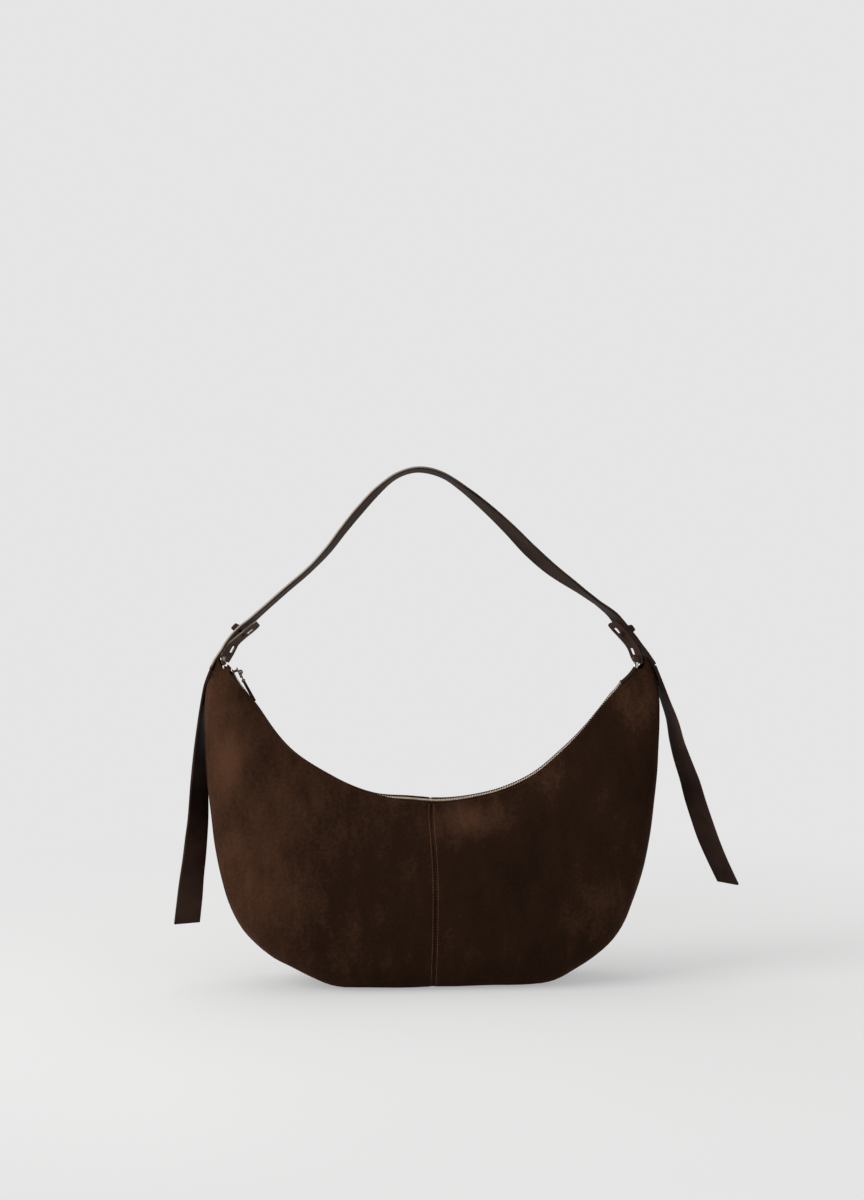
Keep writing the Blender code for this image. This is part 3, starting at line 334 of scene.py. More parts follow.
# %% [markdown]
# A half is laid a shade short of the seam and its edge is drawn in, so that the two halves meet in
# a real groove. Solidify gives the suede its 1.6 mm, inward from the outer side. The cells are
# finest along the seam, the hem and the foot, where the stitches pull.

# %% Suede halves
NEAR = [0.0, 0.0004, 0.0009, 0.0015, 0.0021, 0.0027, 0.0034, 0.0045, 0.0060, 0.0080, 0.0105, 0.0135]
HEM = [0.0, 0.003, 0.007, 0.011, 0.015, 0.020, 0.027, 0.037, 0.050]
FOOT = [0.955, 0.970, 0.982, 0.991, 0.996, 1.0]
ROWS = HEM + steps(0.050, 0.955, 0.0185)[1:-1] + FOOT
COLUMNS = NEAR + [n / 100.0 for n in range(2, 101)]
NEAR_LIMIT = 0.015
SEAM_GAP = 0.0002
# The lining hangs free below the hem and needs no fine cells at the seam.
LINING_COLUMNS = [0.0, 0.0045, 0.0135] + COLUMNS[len(NEAR):]
LINING_ROWS = [row for row in ROWS if row >= 0.02]


def half_skin(name, side, hand, inward=0.0, shorten=0.0):
    """One half of the front or back. A column is a distance from the seam, then a share to the tip."""
    def where(column, share):
        seam, radius = seam_deg(share), section(0.0, share)[1]
        deg = seam + hand * math.degrees((min(column, NEAR[-1]) + SEAM_GAP) / radius)
        if column >= NEAR_LIMIT:
            end = hand * (smooth(LEFT_TIP if hand == LEFT else RIGHT_TIP, share) - shorten)
            deg += (end - deg) * (column - NEAR_LIMIT) / (1.0 - NEAR_LIMIT)
        return skin(deg, share, side, inward)

    return lay(name, LINING_COLUMNS if inward else COLUMNS, LINING_ROWS if inward else ROWS, where)


halves = {}
for side, word in SIDES:
    for hand, end in HANDS:
        made = half_skin("%s_suede_%s" % (word, end), side, hand)
        apply(made, "SOLIDIFY", thickness=HIDE, offset=-side * hand, use_even_offset=True)
        outward(made)
        halves[side, hand] = made
print("suede halves:", len(halves), "of", len(made.data.polygons), "faces")

# %% [markdown]
# A strip of the same suede, the gusset, runs under the bag from tip to tip and gives it its depth.
# Its long edges are turned in against the halves. It is flat where the bag stands on it.

# %% Gusset
GUSSET_END, GUSSET_FLAT, GUSSET_SAG = 70.2, 14.0, 0.0012
EDGE_ROLL, ROLL_FROM = 0.0016, 0.86
GUSSET_ACROSS = [-1.0, -0.96, -0.9, -0.8, -0.6, -0.3, 0.0, 0.3, 0.6, 0.8, 0.9, 0.96, 1.0]


def gusset(name, inward, last, size, margin):
    """A strip from tip to tip, a depth inside the suede's outer side, its edges a margin inside."""
    def where(deg, across):
        half, radius = section(deg, 1.0)
        here = polar(deg, radius, across * (half - margin))
        loose = min(1.0, max(0.0, abs(deg) - GUSSET_FLAT) / 10.0)
        sag = noise.noise(here * 21.0) * GUSSET_SAG * loose * (1.0 - across * across)
        roll = EDGE_ROLL * max(0.0, abs(across) - ROLL_FROM) / (1.0 - ROLL_FROM)
        place = polar(deg, radius + HIDE + sag - roll - inward, here.y)
        place.z = max(place.z, FLOOR_GAP + inward)
        return place

    return lay(name, steps(-last, last, size), GUSSET_ACROSS, where)


gusset_skin = gusset("gusset_suede", 0.0, GUSSET_END, 1.0, 0.0004)
apply(gusset_skin, "SOLIDIFY", thickness=HIDE, offset=1.0)
outward(gusset_skin)
print("gusset:", len(gusset_skin.data.polygons), "faces")

# %% [markdown]
# Past each end of the zip a small suede cap closes the mouth, folded over both lips. On the right
# it is a long strip, and on the left it is short, as the closed slider stands beside it.

# %% Caps over the zip's ends
CAP_LIFT, CAP_OVERHANG = 0.0007, 0.0003
caps = {}
for hand, end, first, last in ((LEFT, "left", 68.6, 69.9), (RIGHT, "right", 63.4, 68.6)):
    def over(deg, across):
        half, radius = section(deg, 0.0)
        crown = CAP_LIFT * (1.0 - across * across)
        crown += (rise(deg, FRONT) * (1.0 - across) + rise(deg, BACK) * (1.0 + across)) / 2.0
        return polar(deg, radius - crown - CAP_LIFT, across * (half + CAP_OVERHANG))

    made = lay("zip_cap_" + end, steps(hand * first, hand * last, 0.24), steps(-1.0, 1.0, 0.25), over)
    apply(made, "SOLIDIFY", thickness=HIDE, offset=0.0)
    apply(made, "BEVEL", width=0.0004, segments=2, limit_method="ANGLE")
    caps[end] = outward(made)
print("caps:", len(caps))

# %% [markdown]
# The bag is lined in plain cloth, cut to the same halves as the suede and hung a little inside it,
# with a strip over the gusset. A slip pocket is sewn on the back lining, its top edge left slack.

# %% Lining and pocket
LINING_IN, LINING_THICK = HIDE + 0.0006, 0.0005
# The lining ends short of the tips, in degrees, and its floor strip with it.
LINING_SHORT, LINING_END = 2.5, 66.0
POCKET_DEG, POCKET_TOP, POCKET_FOOT, POCKET_SLACK = 12.0, 0.42, 0.75, 0.0034
linings = {}
for side, word in SIDES:
    for hand, end in HANDS:
        made = half_skin("%s_lining_%s" % (word, end), side, hand, LINING_IN, LINING_SHORT)
        apply(made, "SOLIDIFY", thickness=LINING_THICK, offset=-side * hand)
        linings[side, hand] = outward(made)
lining_floor = gusset("lining_floor", LINING_IN, LINING_END, 2.0, HIDE + 0.0012)
apply(lining_floor, "SOLIDIFY", thickness=LINING_THICK, offset=1.0)
outward(lining_floor)


def pocket_place(deg, share):
    u, v = (deg / POCKET_DEG + 1.0) / 2.0, (share - POCKET_TOP) / (POCKET_FOOT - POCKET_TOP)
    lift = math.sin(math.pi * u) * (1.0 - v) * POCKET_SLACK
    return skin(deg, share, BACK, HIDE + 0.0016 + lift)


pocket = {}
for hand, end in HANDS:
    made = lay("slip_pocket_" + end, steps(0.0, hand * POCKET_DEG, 0.9),
               steps(POCKET_TOP, POCKET_FOOT, 0.02), pocket_place)
    apply(made, "SOLIDIFY", thickness=0.0009, offset=0.0)
    pocket[hand] = outward(made)
print("lining pieces:", len(linings) + 1, "and a pocket")

# %% [markdown]
# Two rows of tan topstitching hold the seam flat, and a fine dark row runs below the zip. One
# stitch is a short rounded bar. It is modelled once and set down along each line, sunk into the
# suede for most of its thickness.

# %% Stitches
# Length and thickness of a stitch, the pitch of its row, and how far its middle stands out.
SEAM_STITCH, SEAM_PITCH, SEAM_LIFT = (0.0021, 0.00055), 0.0028, 0.00006
HEM_STITCH, HEM_PITCH, HEM_LIFT = (0.0016, 0.0004), 0.0024, 0.00004


def stitch_pattern(length, thick):
    """One stitch, a bar along X with rounded ends."""
    bpy.ops.mesh.primitive_cylinder_add(vertices=6, radius=thick / 2.0, depth=length,
                                        end_fill_type="TRIFAN", rotation=(0.0, math.radians(90.0), 0.0))
    made = bpy.context.object
    bpy.ops.object.transform_apply(location=False, rotation=True, scale=False)
    bpy.ops.object.mode_set(mode="EDIT")
    bpy.ops.mesh.select_all(action="SELECT")
    bpy.ops.mesh.bevel(offset=thick * 0.3, segments=1)
    bpy.ops.object.mode_set(mode="OBJECT")
    return made


def strew(name, sample, places):
    """One piece joined from a copy of the sample at every place, a 4x4 matrix each."""
    bpy.ops.object.select_all(action="DESELECT")
    for place in places:
        one = bpy.data.objects.new(name, sample.data.copy())
        bpy.context.scene.collection.objects.link(one)
        one.data.transform(place)
        one.select_set(True)
    bpy.context.view_layer.objects.active = one
    bpy.ops.object.join()
    one.name = one.data.name = name
    bpy.ops.object.shade_smooth_by_angle(angle=math.radians(50.0))
    return one


def stand(here, ahead, up):
    """A place: X points ahead and Z points up from the surface."""
    x = ahead.normalized()
    y = up.cross(x).normalized()
    m = Matrix((x, y, x.cross(y))).transposed().to_4x4()
    m.translation = here
    return m


def stitch_line(points, pitch, lift):
    """Places for stitches of a pitch along a fine line of (point, outward) pairs."""
    places, run, target = [], 0.0, pitch / 2.0
    for (a, up_a), (b, up_b) in zip(points, points[1:]):
        step = (b - a).length
        while run + step >= target:
            t = (target - run) / step
            places.append(stand(a.lerp(b, t) + up_a.lerp(up_b, t) * lift, b - a, up_a.lerp(up_b, t)))
            target += pitch
        run += step
    return places


def skin_line(side, pairs):
    """Points and outward directions along pairs of angle and share."""
    line = []
    for deg, share in pairs:
        here = skin(deg, share, side)
        line.append((here, (here - skin(deg, share, side, 0.001)).normalized()))
    return line


seam_stitch, hem_stitch = stitch_pattern(*SEAM_STITCH), stitch_pattern(*HEM_STITCH)
stitches = {}
for side, word in SIDES:
    for hand, end in HANDS:
        seam = [(seam_deg(share) + hand * math.degrees(ROW_OUT / section(0.0, share)[1]), share)
                for share in steps(0.012, 0.94, 0.004)]
        hem = [(hand * deg, HEM_DOWN / SECTION_LENGTH) for deg in steps(1.2, 69.0, 0.3)]
        for kind, pairs, sample, pitch, lift in (("seam", seam, seam_stitch, SEAM_PITCH, SEAM_LIFT),
                                                 ("hem", hem, hem_stitch, HEM_PITCH, HEM_LIFT)):
            line = stitch_line(skin_line(side, pairs), pitch, lift)
            stitches[side, hand, kind] = strew("%s_%s_stitches_%s" % (word, kind, end), sample, line)
for sample in (seam_stitch, hem_stitch):
    bpy.data.objects.remove(sample, do_unlink=True)
print("stitch rows:", len(stitches))

# %% [markdown]
# The zip is a metal chain on two tapes. A tooth is a small block whose narrow head reaches between
# two teeth of the other tape. It is modelled once, and the other tape's row starts half a pitch on.

# %% Zip chain
TOOTH_PITCH, TOOTH_SIZE = 0.0024, (0.00125, 0.0038, 0.0022)
TEETH_FIRST, TEETH_LAST = -66.9, 63.6
TAPE_START, TAPE_FLAT, TAPE_TURN, TAPE_SPREAD = 0.0017, 0.0066, 0.0062, 0.8


def block(name, size, where=(0.0, 0.0, 0.0), bevel=0.0, segments=2):
    """A box of a size at a place, its edges rounded."""
    bpy.ops.mesh.primitive_cube_add(size=1.0, location=where)
    made = bpy.context.object
    made.name = made.data.name = name
    made.scale = size
    bpy.ops.object.transform_apply(location=True, rotation=True, scale=True)
    if bevel:
        bpy.ops.object.mode_set(mode="EDIT")
        bpy.ops.mesh.select_all(action="SELECT")
        bpy.ops.mesh.bevel(offset=bevel, segments=segments)
        bpy.ops.object.mode_set(mode="OBJECT")
    return made


tooth = block("tooth", TOOTH_SIZE, (0.0, 0.0013, 0.0), 0.00022, 1)
# The head, on the side of the zip's middle, is narrower and lower than the foot on the tape.
for v in tooth.data.vertices:
    if v.co.y < 0.0:
        v.co.x *= 0.70
        v.co.z *= 0.86
teeth = {}
for side, word in SIDES:
    pitch = math.degrees(TOOTH_PITCH / ZIP_RADIUS)
    places = []
    deg = TEETH_FIRST + (pitch / 2.0 if side == BACK else 0.0)
    while deg < TEETH_LAST:
        here = polar(deg, zip_radius(deg))
        ahead = (polar(deg + 0.1, zip_radius(deg + 0.1)) - here).normalized()
        up = Vector((-here.x, 0.0, ARC_CENTRE - here.z)).normalized()
        m = Matrix((ahead * side, Vector((0.0, side, 0.0)), up)).transposed().to_4x4()
        m.translation = here
        places.append(m)
        deg += pitch
    teeth[side] = strew("teeth_" + word, tooth, places)
bpy.data.objects.remove(tooth, do_unlink=True)
tapes = {}
for side, word in SIDES:
    def on_tape(deg, across):
        """The tape lies flat beside the teeth and then turns down inside its lip."""
        y = min(across, TAPE_FLAT)
        down = max(0.0, across - TAPE_TURN) * 0.96
        return polar(deg, zip_radius(deg) + 0.0002 + down, side * (TAPE_START + y * TAPE_SPREAD))

    made = lay("tape_" + word, steps(TEETH_FIRST - 0.7, TEETH_LAST + 0.4, 1.2),
               [0.0, 0.0022, 0.0044, 0.0058, 0.0068, 0.0084, 0.0120], on_tape)
    apply(made, "SOLIDIFY", thickness=0.0006, offset=0.0)
    tapes[side] = outward(made)
print("teeth:", len(places), "a side")

# %% [markdown]
# The slider is two plates round the chain, joined by a post, and a bridge on top. A wire puller turns in
# the bridge, and a folded leather pull hangs from it. The imported slider, puller and pull already have
# these forms, so each is copied and welded, and the slider and pull are given rounded edges.

# %% Slider, puller, pull and loops
def dressed(node, width, segments=3, smooth_angle=40.0):
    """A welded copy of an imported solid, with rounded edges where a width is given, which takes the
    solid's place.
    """
    source = frame["nodes"][node]
    made = bpy.data.objects.new(node + "_dressed", source.data.copy())
    made.data.materials.clear()
    bpy.context.scene.collection.objects.link(made)
    made.matrix_world = source.matrix_world.copy()
    pick(made)
    bpy.ops.object.transform_apply(location=True, rotation=True, scale=True)
    bpy.ops.object.mode_set(mode="EDIT")
    bpy.ops.mesh.select_all(action="SELECT")
    bpy.ops.mesh.remove_doubles(threshold=0.00002)
    bpy.ops.mesh.dissolve_limited(angle_limit=math.radians(1.0))
    bpy.ops.object.mode_set(mode="OBJECT")
    if width:
        apply(made, "BEVEL", width=width, segments=segments, limit_method="ANGLE",
              angle_limit=math.radians(35.0), use_clamp_overlap=True)
    bpy.ops.object.shade_smooth_by_angle(angle=math.radians(smooth_angle))
    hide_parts(node)
    return made


slider = dressed("zip_slider", 0.00025, 2)
puller = dressed("zip_puller", 0.0, smooth_angle=70.0)
pull = dressed("pull_leather", 0.0004)
loops = {end: dressed("tip_loop_" + end, 0.0004) for hand, end in HANDS}
print("copied from solids:", 3 + len(loops))

# %% [markdown]
# A round wire ring at each tip lets the strap swing. It is a torus of the wire's thickness, turned
# so that it faces along the bag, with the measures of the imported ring.

# %% Rings
RING_X, RING_Z = 0.19238, 0.29880
RING_RADIUS, RING_WIRE = 0.0066, 0.0011
rings = {}
for hand, end in HANDS:
    bpy.ops.mesh.primitive_torus_add(major_radius=RING_RADIUS, minor_radius=RING_WIRE, major_segments=64,
                                     minor_segments=16, location=(hand * RING_X, 0.0, RING_Z),
                                     rotation=(0.0, math.radians(90.0), 0.0))
    made = bpy.context.object
    bpy.ops.object.transform_apply(location=True, rotation=True, scale=True)
    bpy.ops.object.shade_smooth()
    made.name = made.data.name = "ring_" + end + "_wire"
    rings[end] = made
print("ring:", round(2000 * (RING_RADIUS + RING_WIRE), 1), "mm across")

# %% [markdown]
# The strap rises from the rings, and its tails hang outside them. All three are 25 mm bands of a
# firm dark leather, 2.6 mm thick with painted edges. Each is one flat pattern bent along a smooth
# route and given its thickness afterwards, so that it twists as a cut strip does.

# %% Strap and tails
STRAP_WIDTH, STRAP_THICK, TAIL_LENGTH = 0.025, 0.0026, 0.24
# The strap's route: across and up in shares of the arc's height.
ROUTE = [(-0.5476, 0.8085), (-0.534, 0.831), (-0.5135, 0.8555), (-0.492, 0.8857), (-0.472, 0.908),
         (-0.447, 0.928), (-0.4195, 0.9525), (-0.363, 1.002), (-0.3045, 1.0515), (-0.2568, 1.101),
         (-0.2184, 1.151), (-0.1785, 1.200), (-0.132, 1.250), (-0.084, 1.2865), (-0.030, 1.3005),
         (0.029, 1.2865), (0.0865, 1.2486), (0.147, 1.198), (0.1997, 1.148), (0.249, 1.097),
         (0.306, 1.0465), (0.376, 0.9957), (0.446, 0.944), (0.470, 0.919), (0.4935, 0.888),
         (0.514, 0.862), (0.5365, 0.8365), (0.559, 0.8085)]
# How far the band is turned from edge-on, in degrees, by share of its length.
LEAN = [(0.0, 4.0), (0.025, 11.0), (0.05, 18.0), (0.09, 16.0), (0.137, 14.0), (0.242, 14.0),
        (0.265, 16.0), (0.308, 17.5), (0.352, 19.5), (0.375, 19.0), (0.399, 18.0), (0.425, 14.0),
        (0.456, 12.0), (0.501, 11.0), (0.537, 8.5), (0.568, 10.5), (0.595, 14.0), (0.621, 16.5),
        (0.671, 21.0), (0.719, 25.0), (0.744, 24.5), (0.77, 22.5), (0.797, 18.0), (0.829, 11.0),
        (0.861, 7.5), (0.90, 14.0), (0.945, 17.0), (0.975, 10.0), (1.0, 4.0)]
# A tail's rows: across and up as above, back in half depths, and its lean.
LEFT_TAIL = [(-0.5476, 0.8061, 0.0, 4.0), (-0.5600, 0.770, 0.123, 4.0), (-0.5659, 0.730, 0.185, 8.0),
             (-0.5716, 0.670, 0.254, 15.0), (-0.5759, 0.600, 0.316, 25.0), (-0.5792, 0.519, 0.355, 37.0),
             (-0.5827, 0.430, 0.355, 47.0), (-0.5884, 0.370, 0.355, 54.0), (-0.5938, 0.319, 0.355, 58.0),
             (-0.6006, 0.268, 0.355, 63.0), (-0.6060, 0.217, 0.355, 70.0), (-0.6135, 0.153, 0.355, 73.0)]
RIGHT_TAIL = [(0.559, 0.8061, 0.0, 4.0), (0.5757, 0.765, 0.0, 4.0), (0.5933, 0.714, 0.0, 9.0),
              (0.6117, 0.663, 0.0, 14.0), (0.6237, 0.611, 0.0, 21.0), (0.6396, 0.560, 0.0, 30.0),
              (0.6581, 0.508, 0.0, 36.0), (0.6728, 0.457, 0.0, 40.0), (0.6901, 0.405, 0.0, 42.0),
              (0.7087, 0.353, 0.0, 43.0), (0.7312, 0.301, 0.0, 41.0), (0.7600, 0.241, 0.0, 40.0)]


def curved(rows, share):
    """A place along a smooth curve through rows of numbers."""
    at = min(max(share, 0.0), 1.0) * (len(rows) - 1)
    i = min(int(at), len(rows) - 2)
    t = at - i
    before, a, b, after = rows[max(i - 1, 0)], rows[i], rows[i + 1], rows[min(i + 2, len(rows) - 1)]
    return tuple(0.5 * (2 * q + (r - p) * t + (2 * p - 5 * q + 4 * r - s) * t * t
                        + (3 * q - p - 3 * r + s) * t ** 3)
                 for p, q, r, s in zip(before, a, b, after))


def table(rows, at):
    """Read a table along straight lines."""
    at = min(max(at, rows[0][0]), rows[-1][0])
    i = next(k for k in range(len(rows) - 1) if at <= rows[k + 1][0])
    (x0, y0), (x1, y1) = rows[i], rows[i + 1]
    return y0 + (y1 - y0) * (at - x0) / (x1 - x0)


# The rows above were read with the ring at this place, so those near a ring move with it.
READ_X, READ_Z = 0.51765, 0.8085
SHIFT_X, SHIFT_Z = RING_X - READ_X * ARC_CENTRE, RING_Z - READ_Z * ARC_CENTRE


def by_ring(x, z, near):
    """A place near a ring, moved with the ring."""
    return x * ARC_CENTRE + math.copysign(SHIFT_X, x) * near, z * ARC_CENTRE + SHIFT_Z * near


route = [by_ring(x, z, min(abs(x) / ROUTE[-1][0], 1.0)) for x, z in ROUTE]
route = [Vector((x, 0.0, z)) for x, z in (curved(route, i / 400) for i in range(401))]
run = [0.0]
for a, b in zip(route, route[1:]):
    run.append(run[-1] + (b - a).length)


def strap_frame(at):
    """The strap's middle, its direction and its outward side at a length along it."""
    at = min(max(at, 0.0), run[-1])
    i = next((k for k in range(len(route) - 1) if run[k + 1] >= at), len(route) - 2)
    here = route[i].lerp(route[i + 1], (at - run[i]) / (run[i + 1] - run[i]))
    on = (route[min(i + 2, len(route) - 1)] - route[max(i - 1, 0)]).normalized()
    return here, on, Vector((-on.z, 0.0, on.x))


def strap_place(share, across):
    here, on, out = strap_frame(share * run[-1])
    lean = math.radians(table(LEAN, share))
    half = STRAP_WIDTH / 2.0 * across
    wave = noise.noise(here * 9.0) * 0.0006
    return here + Vector((0.0, half * math.cos(lean), 0.0)) - out * (half * math.sin(lean) - wave)


def tail_place(rows, hand):
    rows = [by_ring(x, z, 1.0) + (y * HALF_DEPTH, lean) for x, z, y, lean in rows]

    def where(share, across):
        x, z, y, lean = curved(rows, share)
        turn = math.radians(lean)
        half = STRAP_WIDTH / 2.0 * across
        return Vector((x - hand * half * math.sin(turn), y + half * math.cos(turn), z))
    return where


ACROSS = [-1.0, -0.93, -0.8, -0.4, 0.0, 0.4, 0.8, 0.93, 1.0]


def band(name, length, where):
    """A band of leather along a route of about this length."""
    made = lay(name, steps(0.0, 1.0, 0.003 / length), ACROSS, where)
    apply(made, "SOLIDIFY", thickness=STRAP_THICK, offset=0.0)
    apply(made, "BEVEL", width=0.0007, segments=3, limit_method="ANGLE", angle_limit=math.radians(60.0))
    return outward(made)


strap = band("strap_band", run[-1], strap_place)
tails = {end: band("tail_band_" + end, TAIL_LENGTH, tail_place(rows, hand))
         for (hand, end), rows in zip(HANDS, (LEFT_TAIL, RIGHT_TAIL))}
print("strap:", round(run[-1] * 1000), "mm from ring to ring")

# %% [markdown]
# A thinner tab comes up from each ring along the strap's inner side, cut with slots. The strap's
# toggle, a rolled bar of leather, goes through the hidden middle one and holds the two. The tab is
# laid between its two edges, each a line of points, because it twists as it rises.

# %% Tabs and toggles
TAB_WIDTH, TAB_THICK = 0.0156, 0.0013
TAB_NEAR = {"left": [(-0.1929, 0.3065), (-0.1939, 0.3121), (-0.1910, 0.3180), (-0.1868, 0.3233),
                     (-0.1776, 0.3308), (-0.1693, 0.3372), (-0.1619, 0.3433)],
            "right": [(0.1979, 0.3000), (0.1966, 0.3069), (0.1949, 0.3130), (0.1908, 0.3201),
                      (0.1856, 0.3271), (0.1798, 0.3340), (0.1729, 0.3399)]}
TAB_FAR = {"left": [(-0.1874, 0.3031), (-0.1830, 0.3105), (-0.1799, 0.3165), (-0.1778, 0.3202),
                    (-0.1714, 0.3261), (-0.1644, 0.3317), (-0.1579, 0.3374)],
           "right": [(0.1926, 0.2980), (0.1893, 0.3034), (0.1865, 0.3107), (0.1830, 0.3164),
                     (0.1768, 0.3235), (0.1711, 0.3295), (0.1662, 0.3354)]}
TAB_SLOTS, SLOT_ACROSS, SLOT_SIZE = (0.30, 0.80), 0.36, (0.0068, 0.0050, 0.0060)
TOGGLE_FROM_END = {"left": 0.0438, "right": 0.0396}
TOGGLE_SIZE, STEM_SIZE = (0.0068, 0.0200, 0.0046), (0.0030, 0.0042, 0.0100)
TOGGLE_OUT, STEM_OUT, FOLD_LENGTH = 0.0034, -0.0025, 0.0148
tabs, toggles = {}, {}


def tab_place(end, share, across):
    """A place in the middle of a tab, whose top corners are rounded."""
    (x0, z0), (x1, z1) = curved(TAB_NEAR[end], share), curved(TAB_FAR[end], share)
    corner = max(0.0, share - 0.91) / 0.09
    across *= 0.5 + 0.5 * math.sqrt(max(0.0, 1.0 - corner * corner))
    t = (across + 1.0) / 2.0
    return Vector((x0 + (x1 - x0) * t, across * TAB_WIDTH / 2.0, z0 + (z1 - z0) * t))


def joined(parts):
    bpy.ops.object.select_all(action="DESELECT")
    for part in parts:
        part.select_set(True)
    bpy.context.view_layer.objects.active = parts[0]
    bpy.ops.object.join()
    return parts[0]


# Each tab's foot is a fold with its own radius and its own drop below the ring's top.
for hand, end, radius, drop in ((LEFT, "left", 0.0024, 0.0006), (RIGHT, "right", 0.0029, 0.0020)):
    def on_tab(share, across):
        return tab_place(end, share, across)

    made = lay("tab_" + end + "_leather", steps(0.0, 0.9, 0.045) + [0.93, 0.95, 0.97, 0.985, 0.995, 1.0],
               steps(-1.0, 1.0, 0.4), on_tab)
    apply(made, "SOLIDIFY", thickness=TAB_THICK, offset=0.0)
    outward(made)
    for share in TAB_SLOTS:
        along = on_tab(share + 0.03, SLOT_ACROSS) - on_tab(share - 0.03, SLOT_ACROSS)
        across = on_tab(share, 0.6) - on_tab(share, 0.2)
        hole = block("slot", SLOT_SIZE, bevel=0.0009)
        hole.data.transform(stand(on_tab(share, SLOT_ACROSS), along, along.cross(across)))
        apply(made, "BOOLEAN", operation="DIFFERENCE", solver="EXACT", object=hole)
        bpy.data.objects.remove(hole, do_unlink=True)
    apply(made, "BEVEL", width=0.0004, segments=2, limit_method="ANGLE", angle_limit=math.radians(50.0),
          use_clamp_overlap=True)
    foot = (hand * (RING_X - 0.0006), 0.0, RING_Z + RING_RADIUS - drop)
    bpy.ops.mesh.primitive_cylinder_add(vertices=40, radius=radius, depth=FOLD_LENGTH, location=foot,
                                        rotation=(math.radians(90.0), 0.0, 0.0))
    fold = bpy.context.object
    bpy.ops.object.transform_apply(location=True, rotation=True, scale=True)
    apply(fold, "BEVEL", width=0.0006, segments=3, limit_method="ANGLE", angle_limit=math.radians(60.0))
    tabs[end] = outward(joined([made, fold]))
    at = TOGGLE_FROM_END[end] if hand == LEFT else run[-1] - TOGGLE_FROM_END[end]
    here, on, out = strap_frame(at)
    lean = math.radians(table(LEAN, at / run[-1]))
    bar = block("toggle_" + end + "_bar", TOGGLE_SIZE, (0.0, 0.0, TOGGLE_OUT), 0.0013, 3)
    stem = block("stem", STEM_SIZE, (0.0, 0.0, STEM_OUT), 0.0005)
    toggles[end] = joined([bar, stem])
    toggles[end].data.transform(stand(here, on, out * math.cos(lean) + Vector((0.0, math.sin(lean), 0.0))))
    bpy.ops.object.shade_smooth_by_angle(angle=math.radians(40.0))
    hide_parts("tab_" + end)
    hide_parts("toggle_" + end)
print("tab:", round(TAB_WIDTH * 1000, 1), "mm wide,", len(tabs["left"].data.polygons), "faces")

# %% [markdown]
# Every piece now takes its place in the imported frame. The suede halves with their lining and stitches,
# the pocket, the strap and the tabs stay where they are built, and the imported pieces they stand for are
# hidden. The imported strap swings stiffly and would cut through the tips. The other pieces ride on the
# imported bodies.

# %% Bodies
for side, word in SIDES:
    for hand, end in HANDS:
        made = halves[side, hand]
        pieces = [made, linings[side, hand], stitches[side, hand, "seam"], stitches[side, hand, "hem"]]
        for piece in pieces + ([pocket[hand]] if side == BACK else []):
            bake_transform(piece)
        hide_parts("%s_panel_%s" % (word, end), word + "_mouth_band")
        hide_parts(word + "_lining")
        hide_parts("inner_pocket")
for made in (strap, tabs["left"], tabs["right"]):
    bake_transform(made)
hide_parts("strap_arch")
for made, body, nodes in (
        (gusset_skin, "bag", ["gusset"]), (lining_floor, "bag", []),
        (caps["left"], "bag", ["zip_end_left"]), (caps["right"], "bag", ["zip_end_right"]),
        (teeth[FRONT], "front_lip", ["zip_teeth_front"]), (teeth[BACK], "back_lip", ["zip_teeth_back"]),
        (tapes[FRONT], "front_lip", ["zip_tape_front"]), (tapes[BACK], "back_lip", ["zip_tape_back"]),
        (slider, "slider", []), (puller, "puller", []), (pull, "puller", []),
        (loops["left"], "bag", []), (loops["right"], "bag", []),
        (rings["left"], "strap", ["ring_left"]), (rings["right"], "strap", ["ring_right"]),
        (toggles["left"], "strap", []), (toggles["right"], "strap", []),
        (tails["left"], "tail_left", ["strap_tail_left"]),
        (tails["right"], "tail_right", ["strap_tail_right"])):
    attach(made, body)
    if nodes:
        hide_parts(*nodes)

# %% [markdown]
# Every finish is a network of nodes: patterns on the object's own coordinates, ramps that turn them
# into colour, and a bump. A few helpers make each node in one call, so that a finish reads as steps.

# %% Node helpers
def finish(name):
    mat = bpy.data.materials.new(name)
    mat.use_nodes = True
    tree = mat.node_tree
    shader = tree.nodes["Principled BSDF"]
    place = tree.nodes.new("ShaderNodeTexCoord")
    return mat, tree, shader, place.outputs["Object"]


def add_node(tree, kind, **values):
    made = tree.nodes.new(kind)
    for name, value in values.items():
        setattr(made, name, value)
    return made


def fill(node, values):
    """Writes values into a node's sockets by name."""
    for name, value in values.items():
        node.inputs[name].default_value = value
    return node


def mapped(tree, source, scale, turn):
    node = fill(add_node(tree, "ShaderNodeMapping"), {"Scale": scale, "Rotation": turn})
    tree.links.new(source, node.inputs["Vector"])
    return node.outputs["Vector"]


def clouds(tree, source, scale, detail=3.0, rough=0.55):
    node = fill(add_node(tree, "ShaderNodeTexNoise"),
                {"Scale": scale, "Detail": detail, "Roughness": rough})
    tree.links.new(source, node.inputs["Vector"])
    return node.outputs["Fac"]


def ramp(tree, source, stops):
    node = tree.nodes.new("ShaderNodeValToRGB")
    while len(node.color_ramp.elements) < len(stops):
        node.color_ramp.elements.new(0.5)
    for element, (at, colour) in zip(node.color_ramp.elements, stops):
        element.position = at
        element.color = tuple(colour) + (1.0,)
    tree.links.new(source, node.inputs["Fac"])
    return node.outputs["Color"]


def mixed(tree, factor, a, b):
    node = add_node(tree, "ShaderNodeMix", data_type="RGBA")
    for socket, value in (("Factor_Float", factor), ("A_Color", a), ("B_Color", b)):
        entry = next(s for s in node.inputs if s.identifier == socket)
        if hasattr(value, "links"):
            tree.links.new(value, entry)
        elif socket == "Factor_Float":
            entry.default_value = value
        else:
            entry.default_value = tuple(value) + (1.0,)
    return next(s for s in node.outputs if s.identifier == "Result_Color")


